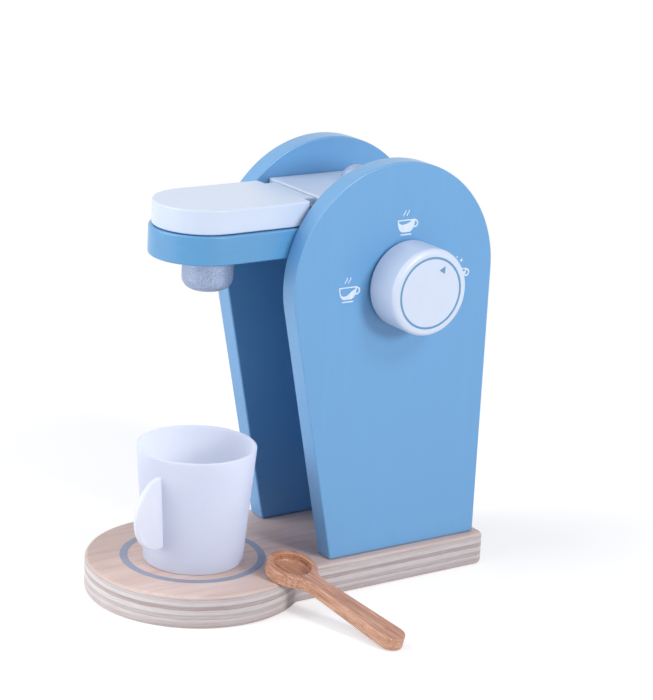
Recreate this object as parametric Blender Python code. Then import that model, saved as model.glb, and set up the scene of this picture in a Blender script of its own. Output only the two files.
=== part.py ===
"""Toy coffee maker of painted wood, with its plastic cup and its wooden scoop.

Metres, +Z up. The front of the machine faces -Y and its knob faces +X. The origin
lies on the surface that the toy stands on, below the centre of the base's round end.
"""
import math

import bmesh
import bpy
from mathutils import Matrix, Vector

# Clearances and cuts
FIT = 0.0003
CUT_OVERRUN = 0.002
MERGE_DISTANCE = 0.000001

# Facets
OUTLINE_STEPS = 40
ROUND_STEPS = 48
FINE_STEPS = 28
DOWEL_STEPS = 16
DOME_STEPS = 8
CORNER_STEPS = 6
FILLET_STEPS = 5
EDGE_STEPS = 2
SHARP_ANGLE = math.radians(35)

# Base board: a disc under the spout with a straight tongue behind it
BASE_THICKNESS = 0.018
TONGUE_SIDE_MARGIN = 0.0058
TONGUE_REAR_MARGIN = 0.0053
DISC_SIDE_MARGIN = 0.013
JUNCTION_FILLET = 0.008
TONGUE_CORNER = 0.006
BASE_EDGE = 0.002

# Side panels: an arch on a foot, straight behind and leaning in front
PANEL_THICKNESS = 0.012
PANEL_GAP = 0.0564
PANEL_EDGE = 0.0009
ARCH_RADIUS = 0.0636
ARCH_Y = 0.0943
ARCH_RISE = 0.1538
FOOT_DEPTH = 0.0967

# Back board between the panels
BACK_THICKNESS = 0.012
BACK_INSET = 0.008
BOARD_EDGE = 0.001

# Brew head: a board with a round front that carries the spout, lid and rear block
HEAD_ABOVE_ARCH = 0.0148
HEAD_THICKNESS = 0.0155
HEAD_ROUND_Y = -0.0022
PAD_RADIUS = 0.02
PAD_DEPTH = 0.006
PAD_FLOOR = 0.0035

# Lid, which turns on a steel rod through the narrower tongue at its rear
LID_THICKNESS = 0.0129
LID_GAP = 0.0004
LID_INSET = 0.0016
LID_EDGE = 0.0008
LID_CORNER = 0.0022
LID_TONGUE_INSET = 0.0075
LID_TAIL = 0.0044
HINGE_DEPTH = 0.004
HINGE_MARGIN = 0.004
HINGE_ROD_RADIUS = 0.0015
HINGE_ROD_CHAMFER = 0.0004

# White block behind the lid, with a dome on top
BLOCK_THICKNESS = 0.0134
BLOCK_FRONT_GAP = 0.0015
BLOCK_REAR_INSET = 0.002
DOME_RADIUS = 0.0096
DOME_STEM_RADIUS = 0.004
DOME_STEM_LENGTH = 0.007

# Spout
SPOUT_Y = 0.002
SPOUT_RADIUS = 0.0135
SPOUT_LENGTH = 0.019
SPOUT_ROUND = 0.0065
SPOUT_BORE = 0.009

# Knob, its axle, the washer under it and the disc that holds it inside
KNOB_RADIUS = 0.0237
KNOB_LENGTH = 0.0219
KNOB_FACE_ROUND = 0.0028
KNOB_BASE_ROUND = 0.0008
KNOB_SETBACK = 0.0062
KNOB_FACE_WALL = 0.0069
AXLE_RADIUS = 0.005
WASHER_RADIUS = 0.012
WASHER_THICKNESS = 0.0006
WASHER_EDGE = 0.0001
RETAINER_RADIUS = 0.015
RETAINER_THICKNESS = 0.008
RETAINER_HEADROOM = 0.0021

# Dowels and screws
DOWEL_RADIUS = 0.004
DOWEL_CHAMFER = 0.0008
DOWEL_SINK = 0.014
HEAD_DOWEL_INSET = 0.0125
BLOCK_DOWEL_SINK = 0.008
BACK_FIXING_SPACING = 0.028
BORE_WALL = 0.004
SCREW_INSET = 0.022
SCREW_GRIP = 0.02
SCREW_RADIUS = 0.002
SCREW_HEAD_RADIUS = 0.004
SCREW_HEAD_HEIGHT = 0.003
SCREW_RIM = 0.0004
SCREW_TIP = 0.004

# Cup
CUP_X = 0.0026
CUP_Y = -0.0024
CUP_HEIGHT = 0.0642
CUP_BASE_RADIUS = 0.0268
CUP_RIM_RADIUS = 0.0321
CUP_WALL = 0.0016
CUP_FLOOR = 0.0022
CUP_HEEL = 0.0008
CUP_FOOT_WIDTH = 0.004
CUP_FOOT_DEPTH = 0.0008
CUP_INNER_ROUND = 0.003
HANDLE_RADIUS = 0.0203
HANDLE_THICKNESS = 0.0032
HANDLE_EDGE = 0.0011
HANDLE_RISE = 0.0338
HANDLE_BEARING = math.radians(-69)

# Scoop, which leans on the rim of the base with its handle's end on the floor
SCOOP_THICKNESS = 0.0069
SCOOP_BOWL_RADIUS = 0.0138
SCOOP_LENGTH = 0.0783
SCOOP_NECK_WIDTH = 0.0086
SCOOP_END_WIDTH = 0.0141
SCOOP_NECK_FILLET = 0.011
SCOOP_EDGE = 0.0006
SCOOP_HOLLOW_RADIUS = 0.0104
SCOOP_HOLLOW_DEPTH = 0.005
SCOOP_HOLLOW_ROUND = 0.0022
SCOOP_RIM_INSET = 0.0017
SCOOP_BEARING = math.radians(31.5)
SCOOP_HEADING = math.radians(15.7)

# Heights and planes that follow from the sizes above
BASE_TOP = BASE_THICKNESS
BOARDS_FOOT = BASE_TOP + FIT
SCREW_LENGTH = BASE_TOP + SCREW_GRIP
PANEL_INNER = PANEL_GAP / 2
PANEL_OUTER = PANEL_INNER + PANEL_THICKNESS
PANEL_MIDDLE = (PANEL_INNER + PANEL_OUTER) / 2
BETWEEN_PANELS = PANEL_INNER - FIT
TONGUE_SIDE = PANEL_OUTER + TONGUE_SIDE_MARGIN
DISC_RADIUS = TONGUE_SIDE + DISC_SIDE_MARGIN
ARCH_Z = BASE_TOP + ARCH_RISE
PANEL_REAR = ARCH_Y + ARCH_RADIUS
FOOT_FRONT = PANEL_REAR - FOOT_DEPTH
BACK_REAR = PANEL_REAR - BACK_INSET
BACK_FRONT = BACK_REAR - BACK_THICKNESS
BACK_MIDDLE = (BACK_FRONT + BACK_REAR) / 2
HEAD_BOTTOM = ARCH_Z + HEAD_ABOVE_ARCH
HEAD_TOP = HEAD_BOTTOM + HEAD_THICKNESS
HEAD_MIDDLE = HEAD_BOTTOM + HEAD_THICKNESS / 2
LID_BOTTOM = HEAD_TOP + LID_GAP
LID_TOP = LID_BOTTOM + LID_THICKNESS
LID_HALF_WIDTH = BETWEEN_PANELS - LID_INSET
LID_FRONT = HEAD_ROUND_Y - LID_HALF_WIDTH
LID_TONGUE = LID_HALF_WIDTH - LID_TONGUE_INSET
BLOCK_BOTTOM = HEAD_TOP + FIT
BLOCK_TOP = BLOCK_BOTTOM + BLOCK_THICKNESS
SPOUT_TOP = HEAD_BOTTOM - FIT
HEAD_BORE = HEAD_THICKNESS - PAD_DEPTH - PAD_FLOOR
KNOB_Y = ARCH_Y + KNOB_SETBACK
KNOB_Z = HEAD_BOTTOM - RETAINER_HEADROOM - RETAINER_RADIUS
KNOB_BASE = PANEL_OUTER + WASHER_THICKNESS + 2 * FIT
RETAINER_OUTER = PANEL_INNER - FIT
RETAINER_INNER = RETAINER_OUTER - RETAINER_THICKNESS


def arch_reach(height, inside=0.0):
    """How far the arch reaches from its centre along Y at a height, less a margin inside its edge."""
    rise = height - ARCH_Z
    return math.sqrt((ARCH_RADIUS - inside) ** 2 - rise ** 2)


HINGE_Z = LID_TOP - HINGE_DEPTH
HINGE_Y = ARCH_Y - arch_reach(HINGE_Z, HINGE_MARGIN)
LID_SHOULDER = HINGE_Y - HINGE_ROD_RADIUS - 2 * FIT
LID_REAR = HINGE_Y + LID_TAIL
BLOCK_FRONT = LID_REAR + BLOCK_FRONT_GAP
BLOCK_REAR = ARCH_Y + arch_reach(BLOCK_TOP) - BLOCK_REAR_INSET
PAD_Y = (LID_FRONT + HINGE_Y) / 2

# Finishes: colour, roughness, metallic
LIGHT_BLUE = ((0.19, 0.42, 0.73), 0.5, 0.0)
WHITE_PAINT = ((0.72, 0.77, 0.86), 0.45, 0.0)
SILVER_PAINT = ((0.42, 0.45, 0.55), 0.45, 0.2)
PLYWOOD = ((0.62, 0.47, 0.42), 0.6, 0.0)
BEECH = ((0.72, 0.52, 0.34), 0.6, 0.0)
RED_WOOD = ((0.55, 0.26, 0.14), 0.55, 0.0)
STEEL = ((0.6, 0.6, 0.62), 0.3, 1.0)
NYLON = ((0.8, 0.8, 0.8), 0.5, 0.0)
MILKY_PLASTIC = ((0.78, 0.82, 0.92), 0.35, 0.0)


def clear_scene():
    """Empties the scene of the objects that Blender starts with."""
    for item in list(bpy.data.objects):
        bpy.data.objects.remove(item, do_unlink=True)


def finish_material(name, look):
    """A plain material of its own for one piece."""
    colour, roughness, metallic = look
    material = bpy.data.materials.new(name)
    material.use_nodes = True
    shader = material.node_tree.nodes["Principled BSDF"]
    shader.inputs["Base Color"].default_value = (*colour, 1.0)
    shader.inputs["Roughness"].default_value = roughness
    shader.inputs["Metallic"].default_value = metallic
    material.diffuse_color = (*colour, 1.0)
    return material


def link_mesh(name, bm):
    """Turns a bmesh into an object of the scene, with its faces pointing out."""
    bmesh.ops.recalc_face_normals(bm, faces=bm.faces)
    mesh = bpy.data.meshes.new(name)
    bm.to_mesh(mesh)
    bm.free()
    mesh.shade_smooth()
    mesh.set_sharp_from_angle(angle=SHARP_ANGLE)
    item = bpy.data.objects.new(name, mesh)
    bpy.context.collection.objects.link(item)
    return item


def piece(name, bm, look):
    """A sub-part: a named object with its own material."""
    item = link_mesh(name, bm)
    item.data.materials.append(finish_material(f"{name}_finish", look))
    return item


def pivot(name, place):
    """An empty on a joint's axis, to which the pieces that turn there are parented."""
    empty = bpy.data.objects.new(name, None)
    empty.location = place
    empty.empty_display_size = PANEL_THICKNESS
    bpy.context.collection.objects.link(empty)
    return empty


def hang_on(empty, *pieces):
    """Parents pieces to an empty without moving them."""
    for item in pieces:
        item.parent = empty
        item.matrix_parent_inverse = Matrix.Translation(-empty.location)


def boolean(item, bm, label, operation):
    """Combines a piece with a helper shape that stays in the file as a hidden wire."""
    helper = link_mesh(f"{item.name}_{label}", bm)
    helper.hide_render = True
    helper.display_type = "WIRE"
    modifier = item.modifiers.new(label, "BOOLEAN")
    modifier.operation = operation
    modifier.solver = "EXACT"
    modifier.object = helper
    return helper


def round_edges(item, width, steps=EDGE_STEPS):
    """Rounds every sharp edge that the piece has so far."""
    bevel = item.modifiers.new("rounded_edges", "BEVEL")
    bevel.width = width
    bevel.segments = steps
    bevel.limit_method = "ANGLE"
    bevel.angle_limit = SHARP_ANGLE


def arc(centre, radius, start, end, steps):
    """Points of a circular arc between two angles, both ends included."""
    angles = [start + (end - start) * i / steps for i in range(steps + 1)]
    return [(centre[0] + radius * math.cos(a), centre[1] + radius * math.sin(a)) for a in angles]


def flat_xy(a, b, height):
    return (a, b, height)


def flat_yz(a, b, height):
    return (height, a, b)


def slab(outline, plane, low, high):
    """A solid between two parallel copies of an outline."""
    bm = bmesh.new()
    face = bm.faces.new([bm.verts.new(plane(a, b, low)) for a, b in outline])
    grown = bmesh.ops.extrude_face_region(bm, geom=[face])["geom"]
    far_side = [part for part in grown if isinstance(part, bmesh.types.BMVert)]
    bmesh.ops.translate(bm, vec=Vector(plane(0, 0, high - low)), verts=far_side)
    return bm


def box_outline(low_a, high_a, low_b, high_b):
    return [(low_a, low_b), (high_a, low_b), (high_a, high_b), (low_a, high_b)]


def along(start, end):
    """Placement that carries the local Z axis onto the line from start to end."""
    start, end = Vector(start), Vector(end)
    return Matrix.Translation(start) @ (end - start).to_track_quat("Z", "Y").to_matrix().to_4x4()


def add_turned(bm, profile, start, end, steps):
    """Adds to a mesh the (radius, height) points revolved about the line from start to end."""
    place = along(start, end)
    points = [bm.verts.new(place @ Vector((radius, 0, height))) for radius, height in profile]
    edges = [bm.edges.new(pair) for pair in zip(points, points[1:])]
    bmesh.ops.spin(bm, geom=points + edges, cent=place.translation, axis=place.col[2].to_3d(),
                   dvec=(0, 0, 0), angle=math.tau, steps=steps, use_merge=True)
    bmesh.ops.remove_doubles(bm, verts=bm.verts, dist=MERGE_DISTANCE)


def turned(profile, start, end, steps=ROUND_STEPS):
    """A solid of revolution about the line from start to end."""
    bm = bmesh.new()
    add_turned(bm, profile, start, end, steps)
    return bm


def pin_profile(radius, length, chamfer):
    """Half outline of a round pin with chamfered ends."""
    narrow = radius - chamfer
    return [(0, 0), (narrow, 0), (radius, chamfer), (radius, length - chamfer), (narrow, length),
            (0, length)]


def ring_profile(inner, outer, length, chamfer):
    """Closed half outline of a ring with chamfered outer edges."""
    narrow = outer - chamfer
    return [(inner, 0), (narrow, 0), (outer, chamfer), (outer, length - chamfer),
            (narrow, length), (inner, length), (inner, 0)]


def add_bore(bm, mouth, bottom, radius, steps=DOWEL_STEPS):
    """Adds a round cutter to a mesh, from a bore's bottom to past its mouth."""
    mouth, bottom = Vector(mouth), Vector(bottom)
    outside = mouth + (mouth - bottom).normalized() * CUT_OVERRUN
    depth = (outside - bottom).length
    place = along(bottom, outside) @ Matrix.Translation((0, 0, depth / 2))
    bmesh.ops.create_cone(bm, cap_ends=True, segments=steps, radius1=radius, radius2=radius,
                          depth=depth, matrix=place)


def bores(item, holes, steps=DOWEL_STEPS, label="bores"):
    """Cuts several round holes, each given by its mouth, its bottom and its radius."""
    bm = bmesh.new()
    for mouth, bottom, radius in holes:
        add_bore(bm, mouth, bottom, radius, steps)
    return boolean(item, bm, label, "DIFFERENCE")


def dowel(name, start, end):
    """A wooden dowel with chamfered ends, a clearance short of both bores' bottoms."""
    start, end = Vector(start), Vector(end)
    spare = (end - start).normalized() * FIT
    start, end = start + spare, end - spare
    profile = pin_profile(DOWEL_RADIUS, (end - start).length, DOWEL_CHAMFER)
    return piece(name, turned(profile, start, end, DOWEL_STEPS), BEECH)


def base_outline():
    """Disc and tongue in one outline, with filleted junctions and rounded rear corners."""
    rear = PANEL_REAR + TONGUE_REAR_MARGIN
    reach = DISC_RADIUS + JUNCTION_FILLET
    fillet_x = TONGUE_SIDE + JUNCTION_FILLET
    fillet_y = math.sqrt(reach ** 2 - fillet_x ** 2)
    meet = math.atan2(fillet_y, fillet_x)
    corner_x = TONGUE_SIDE - TONGUE_CORNER
    corner_y = rear - TONGUE_CORNER
    quarter = math.pi / 2
    disc = arc((0, 0), DISC_RADIUS, math.pi - meet, math.tau + meet, ROUND_STEPS)
    right_fillet = arc((fillet_x, fillet_y), JUNCTION_FILLET, math.pi + meet, math.pi, FILLET_STEPS)
    right_corner = arc((corner_x, corner_y), TONGUE_CORNER, 0, quarter, CORNER_STEPS)
    left_corner = arc((-corner_x, corner_y), TONGUE_CORNER, quarter, math.pi, CORNER_STEPS)
    left_fillet = arc((-fillet_x, fillet_y), JUNCTION_FILLET, 0, -meet, FILLET_STEPS)
    return disc + right_fillet[1:] + right_corner + left_corner + left_fillet[:-1]


def back_fixing_places():
    """Centres of the back board's screws and dowels, seen from above."""
    half = BACK_FIXING_SPACING / 2
    return [(half, BACK_MIDDLE), (-half, BACK_MIDDLE)]


def screw_places():
    """Centres of the screws that hold the two panels and the back board, seen from above."""
    front = FOOT_FRONT + SCREW_INSET
    rear = PANEL_REAR - SCREW_INSET
    panels = [(side * PANEL_MIDDLE, y) for side in (1, -1) for y in (front, rear)]
    return panels + back_fixing_places()


def panel_dowel_places():
    """Centres of the dowels between base and panels, midway between each panel's screws."""
    halfway = (FOOT_FRONT + PANEL_REAR) / 2
    return [(PANEL_MIDDLE, halfway), (-PANEL_MIDDLE, halfway)]


def screw_profile():
    """Half outline of a countersunk screw, from its head up to its point."""
    head = SCREW_HEAD_RADIUS
    return [(0, 0), (head, 0), (head, SCREW_RIM), (SCREW_RADIUS, SCREW_HEAD_HEIGHT),
            (SCREW_RADIUS, SCREW_LENGTH - SCREW_TIP), (0, SCREW_LENGTH)]


def make_base_board():
    board = piece("base_board", slab(base_outline(), flat_xy, 0, BASE_TOP), PLYWOOD)
    round_edges(board, BASE_EDGE)
    sunk = SCREW_HEAD_RADIUS + FIT
    shank = SCREW_RADIUS + FIT
    profile = [(0, -CUT_OVERRUN), (sunk, -CUT_OVERRUN), (sunk, SCREW_RIM + 2 * FIT),
               (shank, SCREW_HEAD_HEIGHT + 2 * FIT), (shank, BASE_TOP + CUT_OVERRUN),
               (0, BASE_TOP + CUT_OVERRUN)]
    screw_holes = bmesh.new()
    for x, y in screw_places():
        add_turned(screw_holes, profile, (x, y, 0), (x, y, BASE_TOP), DOWEL_STEPS)
    boolean(board, screw_holes, "screw_holes", "DIFFERENCE")
    bores(board, [((x, y, BASE_TOP), (x, y, BORE_WALL), DOWEL_RADIUS + FIT)
                  for x, y in panel_dowel_places()])


def make_base_screws():
    for number, (x, y) in enumerate(screw_places(), 1):
        screw = turned(screw_profile(), (x, y, FIT), (x, y, BASE_TOP), DOWEL_STEPS)
        piece(f"base_screw_{number}", screw, STEEL)


def panel_outline():
    """Arch, upright rear edge and front edge that leans from the foot to the arch."""
    across = FOOT_FRONT - ARCH_Y
    down = BOARDS_FOOT - ARCH_Z
    lean = math.atan2(down, across) - math.acos(ARCH_RADIUS / math.hypot(across, down))
    arch = arc((ARCH_Y, ARCH_Z), ARCH_RADIUS, 0, lean % math.tau, OUTLINE_STEPS)
    return [(PANEL_REAR, BOARDS_FOOT)] + arch + [(FOOT_FRONT, BOARDS_FOOT)]


def head_dowel_places():
    """Distance along Y and height of the dowels between the head and each panel."""
    return [(HINGE_Y + HEAD_DOWEL_INSET, HEAD_MIDDLE), (BACK_FRONT - HEAD_DOWEL_INSET, HEAD_MIDDLE)]


def panel_holes(side):
    """Blind bores of one panel: screws, dowel from the base, head dowels and hinge rod."""
    inner = side * PANEL_INNER
    blind = side * (PANEL_OUTER - BORE_WALL)
    dowel_radius = DOWEL_RADIUS + FIT
    holes = [((x, y, BOARDS_FOOT), (x, y, SCREW_LENGTH + 2 * FIT), SCREW_RADIUS + FIT)
             for x, y in screw_places() if x * side > PANEL_INNER]
    holes += [((x, y, BOARDS_FOOT), (x, y, BOARDS_FOOT + DOWEL_SINK), dowel_radius)
              for x, y in panel_dowel_places() if x * side > 0]
    holes += [((inner, y, z), (blind, y, z), dowel_radius) for y, z in head_dowel_places()]
    holes.append(((inner, HINGE_Y, HINGE_Z), (blind, HINGE_Y, HINGE_Z), HINGE_ROD_RADIUS + FIT))
    return holes


def make_panels():
    outline = panel_outline()
    left = piece("left_panel", slab(outline, flat_yz, -PANEL_OUTER, -PANEL_INNER), LIGHT_BLUE)
    right = piece("right_panel", slab(outline, flat_yz, PANEL_INNER, PANEL_OUTER), LIGHT_BLUE)
    for panel, side in ((left, -1), (right, 1)):
        round_edges(panel, PANEL_EDGE)
        bores(panel, panel_holes(side))
    far = PANEL_INNER - CUT_OVERRUN
    bores(right, [((PANEL_OUTER, KNOB_Y, KNOB_Z), (far, KNOB_Y, KNOB_Z), AXLE_RADIUS + FIT)],
          FINE_STEPS, "axle_hole")


def make_panel_dowels():
    for number, (x, y) in enumerate(panel_dowel_places(), 1):
        dowel(f"panel_dowel_{number}", (x, y, BORE_WALL), (x, y, BOARDS_FOOT + DOWEL_SINK))


def make_back_board():
    top = HEAD_BOTTOM - FIT
    outline = box_outline(-BETWEEN_PANELS, BETWEEN_PANELS, BACK_FRONT, BACK_REAR)
    board = piece("back_board", slab(outline, flat_xy, BOARDS_FOOT, top), LIGHT_BLUE)
    round_edges(board, BOARD_EDGE)
    holes = []
    for x, y in back_fixing_places():
        holes.append(((x, y, BOARDS_FOOT), (x, y, SCREW_LENGTH + 2 * FIT), SCREW_RADIUS + FIT))
        holes.append(((x, y, top), (x, y, top - DOWEL_SINK), DOWEL_RADIUS + FIT))
    bores(board, holes)


def make_back_dowels():
    for number, (x, y) in enumerate(back_fixing_places(), 1):
        low = HEAD_BOTTOM - FIT - DOWEL_SINK
        high = HEAD_TOP - BORE_WALL
        dowel(f"back_dowel_{number}", (x, y, low), (x, y, high))


def tongue_outline(half_width, round_y, rear):
    """A straight-sided outline with a half-round front."""
    front = arc((0, round_y), half_width, math.pi, math.tau, OUTLINE_STEPS)
    return front + [(half_width, rear), (-half_width, rear)]


def block_dowel_places():
    """Centres of the dowels between head and rear block, before and behind the dome."""
    return [(0, (BLOCK_FRONT + ARCH_Y) / 2), (0, (ARCH_Y + BLOCK_REAR) / 2)]


def make_brew_head():
    outline = tongue_outline(BETWEEN_PANELS, HEAD_ROUND_Y, BACK_REAR)
    head = piece("brew_head", slab(outline, flat_xy, HEAD_BOTTOM, HEAD_TOP), LIGHT_BLUE)
    round_edges(head, BOARD_EDGE)
    radius = DOWEL_RADIUS + FIT
    holes = [((0, SPOUT_Y, HEAD_BOTTOM), (0, SPOUT_Y, HEAD_BOTTOM + HEAD_BORE), radius)]
    holes += [((x, y, HEAD_TOP), (x, y, HEAD_TOP - BLOCK_DOWEL_SINK), radius)
              for x, y in block_dowel_places()]
    holes += [((x, y, HEAD_BOTTOM), (x, y, HEAD_TOP - BORE_WALL), radius)
              for x, y in back_fixing_places()]
    for side in (1, -1):
        mouth = side * BETWEEN_PANELS
        bottom = side * (BETWEEN_PANELS - DOWEL_SINK)
        holes += [((mouth, y, z), (bottom, y, z), radius) for y, z in head_dowel_places()]
    bores(head, holes)
    bores(head, [((0, PAD_Y, HEAD_TOP), (0, PAD_Y, HEAD_TOP - PAD_DEPTH), PAD_RADIUS)],
          ROUND_STEPS, "coffee_pad_recess")


def make_head_dowels():
    number = 0
    for side in (-1, 1):
        for y, z in head_dowel_places():
            number += 1
            inside = side * (BETWEEN_PANELS - DOWEL_SINK)
            outside = side * (PANEL_OUTER - BORE_WALL)
            dowel(f"head_dowel_{number}", (inside, y, z), (outside, y, z))


def make_spout():
    flat = SPOUT_RADIUS - SPOUT_ROUND
    rounding = arc((flat, SPOUT_LENGTH - SPOUT_ROUND), SPOUT_ROUND, 0, math.pi / 2, CORNER_STEPS)
    profile = [(0, 0), (SPOUT_RADIUS, 0)] + rounding + [(0, SPOUT_LENGTH)]
    top = (0, SPOUT_Y, SPOUT_TOP)
    bore_end = (0, SPOUT_Y, SPOUT_TOP - SPOUT_BORE)
    spout = piece("spout", turned(profile, top, (0, SPOUT_Y, 0), FINE_STEPS), SILVER_PAINT)
    bores(spout, [(top, bore_end, DOWEL_RADIUS + FIT)])
    dowel("spout_dowel", bore_end, (0, SPOUT_Y, HEAD_BOTTOM + HEAD_BORE))


def lid_side_profile():
    """Side view of the lid: square past the front, and round below the hinge so that it can turn."""
    past_front = LID_FRONT - CUT_OVERRUN
    rear = arc((HINGE_Y, LID_BOTTOM + LID_TAIL), LID_TAIL, -math.pi / 2, 0, CORNER_STEPS)
    return [(past_front, LID_BOTTOM)] + rear + [(LID_REAR, LID_TOP), (past_front, LID_TOP)]


def lid_plan():
    """Lid from above: a round front, full width up to its shoulders, then the hinge tongue."""
    front = arc((0, HEAD_ROUND_Y), LID_HALF_WIDTH, math.pi, math.tau, OUTLINE_STEPS)
    centre = (LID_HALF_WIDTH - LID_CORNER, LID_SHOULDER - LID_CORNER)
    corner = arc(centre, LID_CORNER, 0, math.pi / 2, CORNER_STEPS)
    past_rear = LID_REAR + CUT_OVERRUN
    right = corner + [(LID_TONGUE, LID_SHOULDER), (LID_TONGUE, past_rear)]
    return front + right + [(-x, y) for x, y in reversed(right)]


def make_lid():
    wide = LID_HALF_WIDTH + CUT_OVERRUN
    lid = piece("lid", slab(lid_side_profile(), flat_yz, -wide, wide), WHITE_PAINT)
    plan = slab(lid_plan(), flat_xy, LID_BOTTOM - CUT_OVERRUN, LID_TOP + CUT_OVERRUN)
    hinge = pivot("lid_hinge", (0, HINGE_Y, HINGE_Z))
    outline = boolean(lid, plan, "plan", "INTERSECT")
    round_edges(lid, LID_EDGE)
    mouth = (LID_TONGUE, HINGE_Y, HINGE_Z)
    far_side = (-LID_TONGUE - CUT_OVERRUN, HINGE_Y, HINGE_Z)
    bore = bores(lid, [(mouth, far_side, HINGE_ROD_RADIUS + FIT)])
    hang_on(hinge, lid, outline, bore)


def make_hinge_rod():
    end = PANEL_OUTER - BORE_WALL - FIT
    profile = pin_profile(HINGE_ROD_RADIUS, 2 * end, HINGE_ROD_CHAMFER)
    rod = turned(profile, (-end, HINGE_Y, HINGE_Z), (end, HINGE_Y, HINGE_Z), DOWEL_STEPS)
    piece("lid_hinge_rod", rod, STEEL)


def make_rear_block():
    outline = box_outline(-BETWEEN_PANELS, BETWEEN_PANELS, BLOCK_FRONT, BLOCK_REAR)
    block = piece("rear_block", slab(outline, flat_xy, BLOCK_BOTTOM, BLOCK_TOP), WHITE_PAINT)
    round_edges(block, LID_EDGE)
    holes = [((x, y, BLOCK_BOTTOM), (x, y, BLOCK_BOTTOM + BLOCK_DOWEL_SINK), DOWEL_RADIUS + FIT)
             for x, y in block_dowel_places()]
    stem_bottom = BLOCK_TOP - DOME_STEM_LENGTH
    holes.append(((0, ARCH_Y, BLOCK_TOP), (0, ARCH_Y, stem_bottom), DOME_STEM_RADIUS + FIT))
    bores(block, holes)
    for number, (x, y) in enumerate(block_dowel_places(), 1):
        low = HEAD_TOP - BLOCK_DOWEL_SINK
        high = BLOCK_BOTTOM + BLOCK_DOWEL_SINK
        dowel(f"block_dowel_{number}", (x, y, low), (x, y, high))


def make_top_dome():
    """Half-ball on the rear block, turned in one piece with its stem."""
    stem = DOME_STEM_LENGTH
    narrow = DOME_STEM_RADIUS - DOWEL_CHAMFER
    ball = arc((0, stem), DOME_RADIUS, 0, math.pi / 2, DOME_STEPS)
    profile = [(0, 0), (narrow, 0), (DOME_STEM_RADIUS, DOWEL_CHAMFER), (DOME_STEM_RADIUS, stem)]
    bottom = BLOCK_TOP + FIT - stem
    dome = turned(profile + ball, (0, ARCH_Y, bottom), (0, ARCH_Y, BLOCK_TOP), FINE_STEPS)
    piece("top_dome", dome, SILVER_PAINT)


def make_knob():
    """Knob, axle and retaining disc, which turn together, and the washer under the knob."""
    def at(x):
        return (x, KNOB_Y, KNOB_Z)

    ends = (at(KNOB_BASE), at(KNOB_BASE + KNOB_LENGTH))
    base_round = arc((KNOB_RADIUS - KNOB_BASE_ROUND, KNOB_BASE_ROUND), KNOB_BASE_ROUND,
                     -math.pi / 2, 0, EDGE_STEPS)
    face_round = arc((KNOB_RADIUS - KNOB_FACE_ROUND, KNOB_LENGTH - KNOB_FACE_ROUND),
                     KNOB_FACE_ROUND, 0, math.pi / 2, CORNER_STEPS)
    profile = [(0, 0)] + base_round + face_round + [(0, KNOB_LENGTH)]
    knob = piece("knob", turned(profile, *ends), WHITE_PAINT)
    bore_end = KNOB_BASE + KNOB_LENGTH - KNOB_FACE_WALL
    running = AXLE_RADIUS + FIT
    bore = bores(knob, [(at(KNOB_BASE), at(bore_end), running)], FINE_STEPS)

    axle_profile = pin_profile(AXLE_RADIUS, bore_end - FIT - RETAINER_INNER, DOWEL_CHAMFER)
    axle = piece("knob_axle", turned(axle_profile, at(RETAINER_INNER), ends[1], FINE_STEPS), BEECH)
    disc_profile = ring_profile(running, RETAINER_RADIUS, RETAINER_THICKNESS, DOWEL_CHAMFER)
    retainer = piece("knob_retainer",
                     turned(disc_profile, at(RETAINER_INNER), ends[1], FINE_STEPS), BEECH)
    washer_profile = ring_profile(running, WASHER_RADIUS, WASHER_THICKNESS, WASHER_EDGE)
    piece("knob_washer", turned(washer_profile, at(PANEL_OUTER + FIT), ends[1], FINE_STEPS), NYLON)
    hang_on(pivot("knob_turn", at(KNOB_BASE)), knob, bore, axle, retainer)


def cup_wall_radius(height):
    """Outer radius of the cup's tapered wall at a height above its foot."""
    return CUP_BASE_RADIUS + (CUP_RIM_RADIUS - CUP_BASE_RADIUS) * height / CUP_HEIGHT


def cup_profile():
    """Half outline of the cup: foot ring, heel, outer wall, round rim, inner wall and floor."""
    lip = CUP_WALL / 2
    foot_outer = CUP_BASE_RADIUS - CUP_HEEL
    foot_inner = foot_outer - CUP_FOOT_WIDTH
    heel = arc((cup_wall_radius(CUP_HEEL) - CUP_HEEL, CUP_HEEL), CUP_HEEL, -math.pi / 2, 0, EDGE_STEPS)
    rim = arc((cup_wall_radius(CUP_HEIGHT) - lip, CUP_HEIGHT - lip), lip, 0, math.pi, 4)
    low = CUP_FLOOR + CUP_INNER_ROUND
    inner = cup_wall_radius(low) - CUP_WALL
    bottom = arc((inner - CUP_INNER_ROUND, low), CUP_INNER_ROUND, 0, -math.pi / 2, CORNER_STEPS // 2)
    under = [(0, CUP_FOOT_DEPTH), (foot_inner, CUP_FOOT_DEPTH), (foot_inner + CUP_FOOT_DEPTH, 0)]
    return under + heel + rim + bottom + [(0, CUP_FLOOR)]


def cup_handle():
    """Solid half-disc fin with a rounded rim and its root in the wall, in the cup's own frame."""
    lean = math.atan2(CUP_RIM_RADIUS - CUP_BASE_RADIUS, CUP_HEIGHT)
    up = math.pi / 2 - lean
    centre = (cup_wall_radius(HANDLE_RISE), HANDLE_RISE)
    fin = arc(centre, HANDLE_RADIUS, up - math.pi, up, 3 * CORNER_STEPS)
    root = CUP_WALL / 2
    fin += [(a - root * math.cos(lean), b + root * math.sin(lean)) for a, b in (fin[-1], fin[0])]
    half = HANDLE_THICKNESS / 2
    bm = slab(fin, lambda a, b, height: (a, height, b), -half, half)
    rim = [edge for edge in bm.edges if edge.verts[0].co.y == edge.verts[1].co.y
           and edge.calc_length() < HANDLE_RADIUS]
    bmesh.ops.bevel(bm, geom=rim, offset=HANDLE_EDGE, segments=EDGE_STEPS, profile=0.5,
                    affect="EDGES")
    return bm


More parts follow.
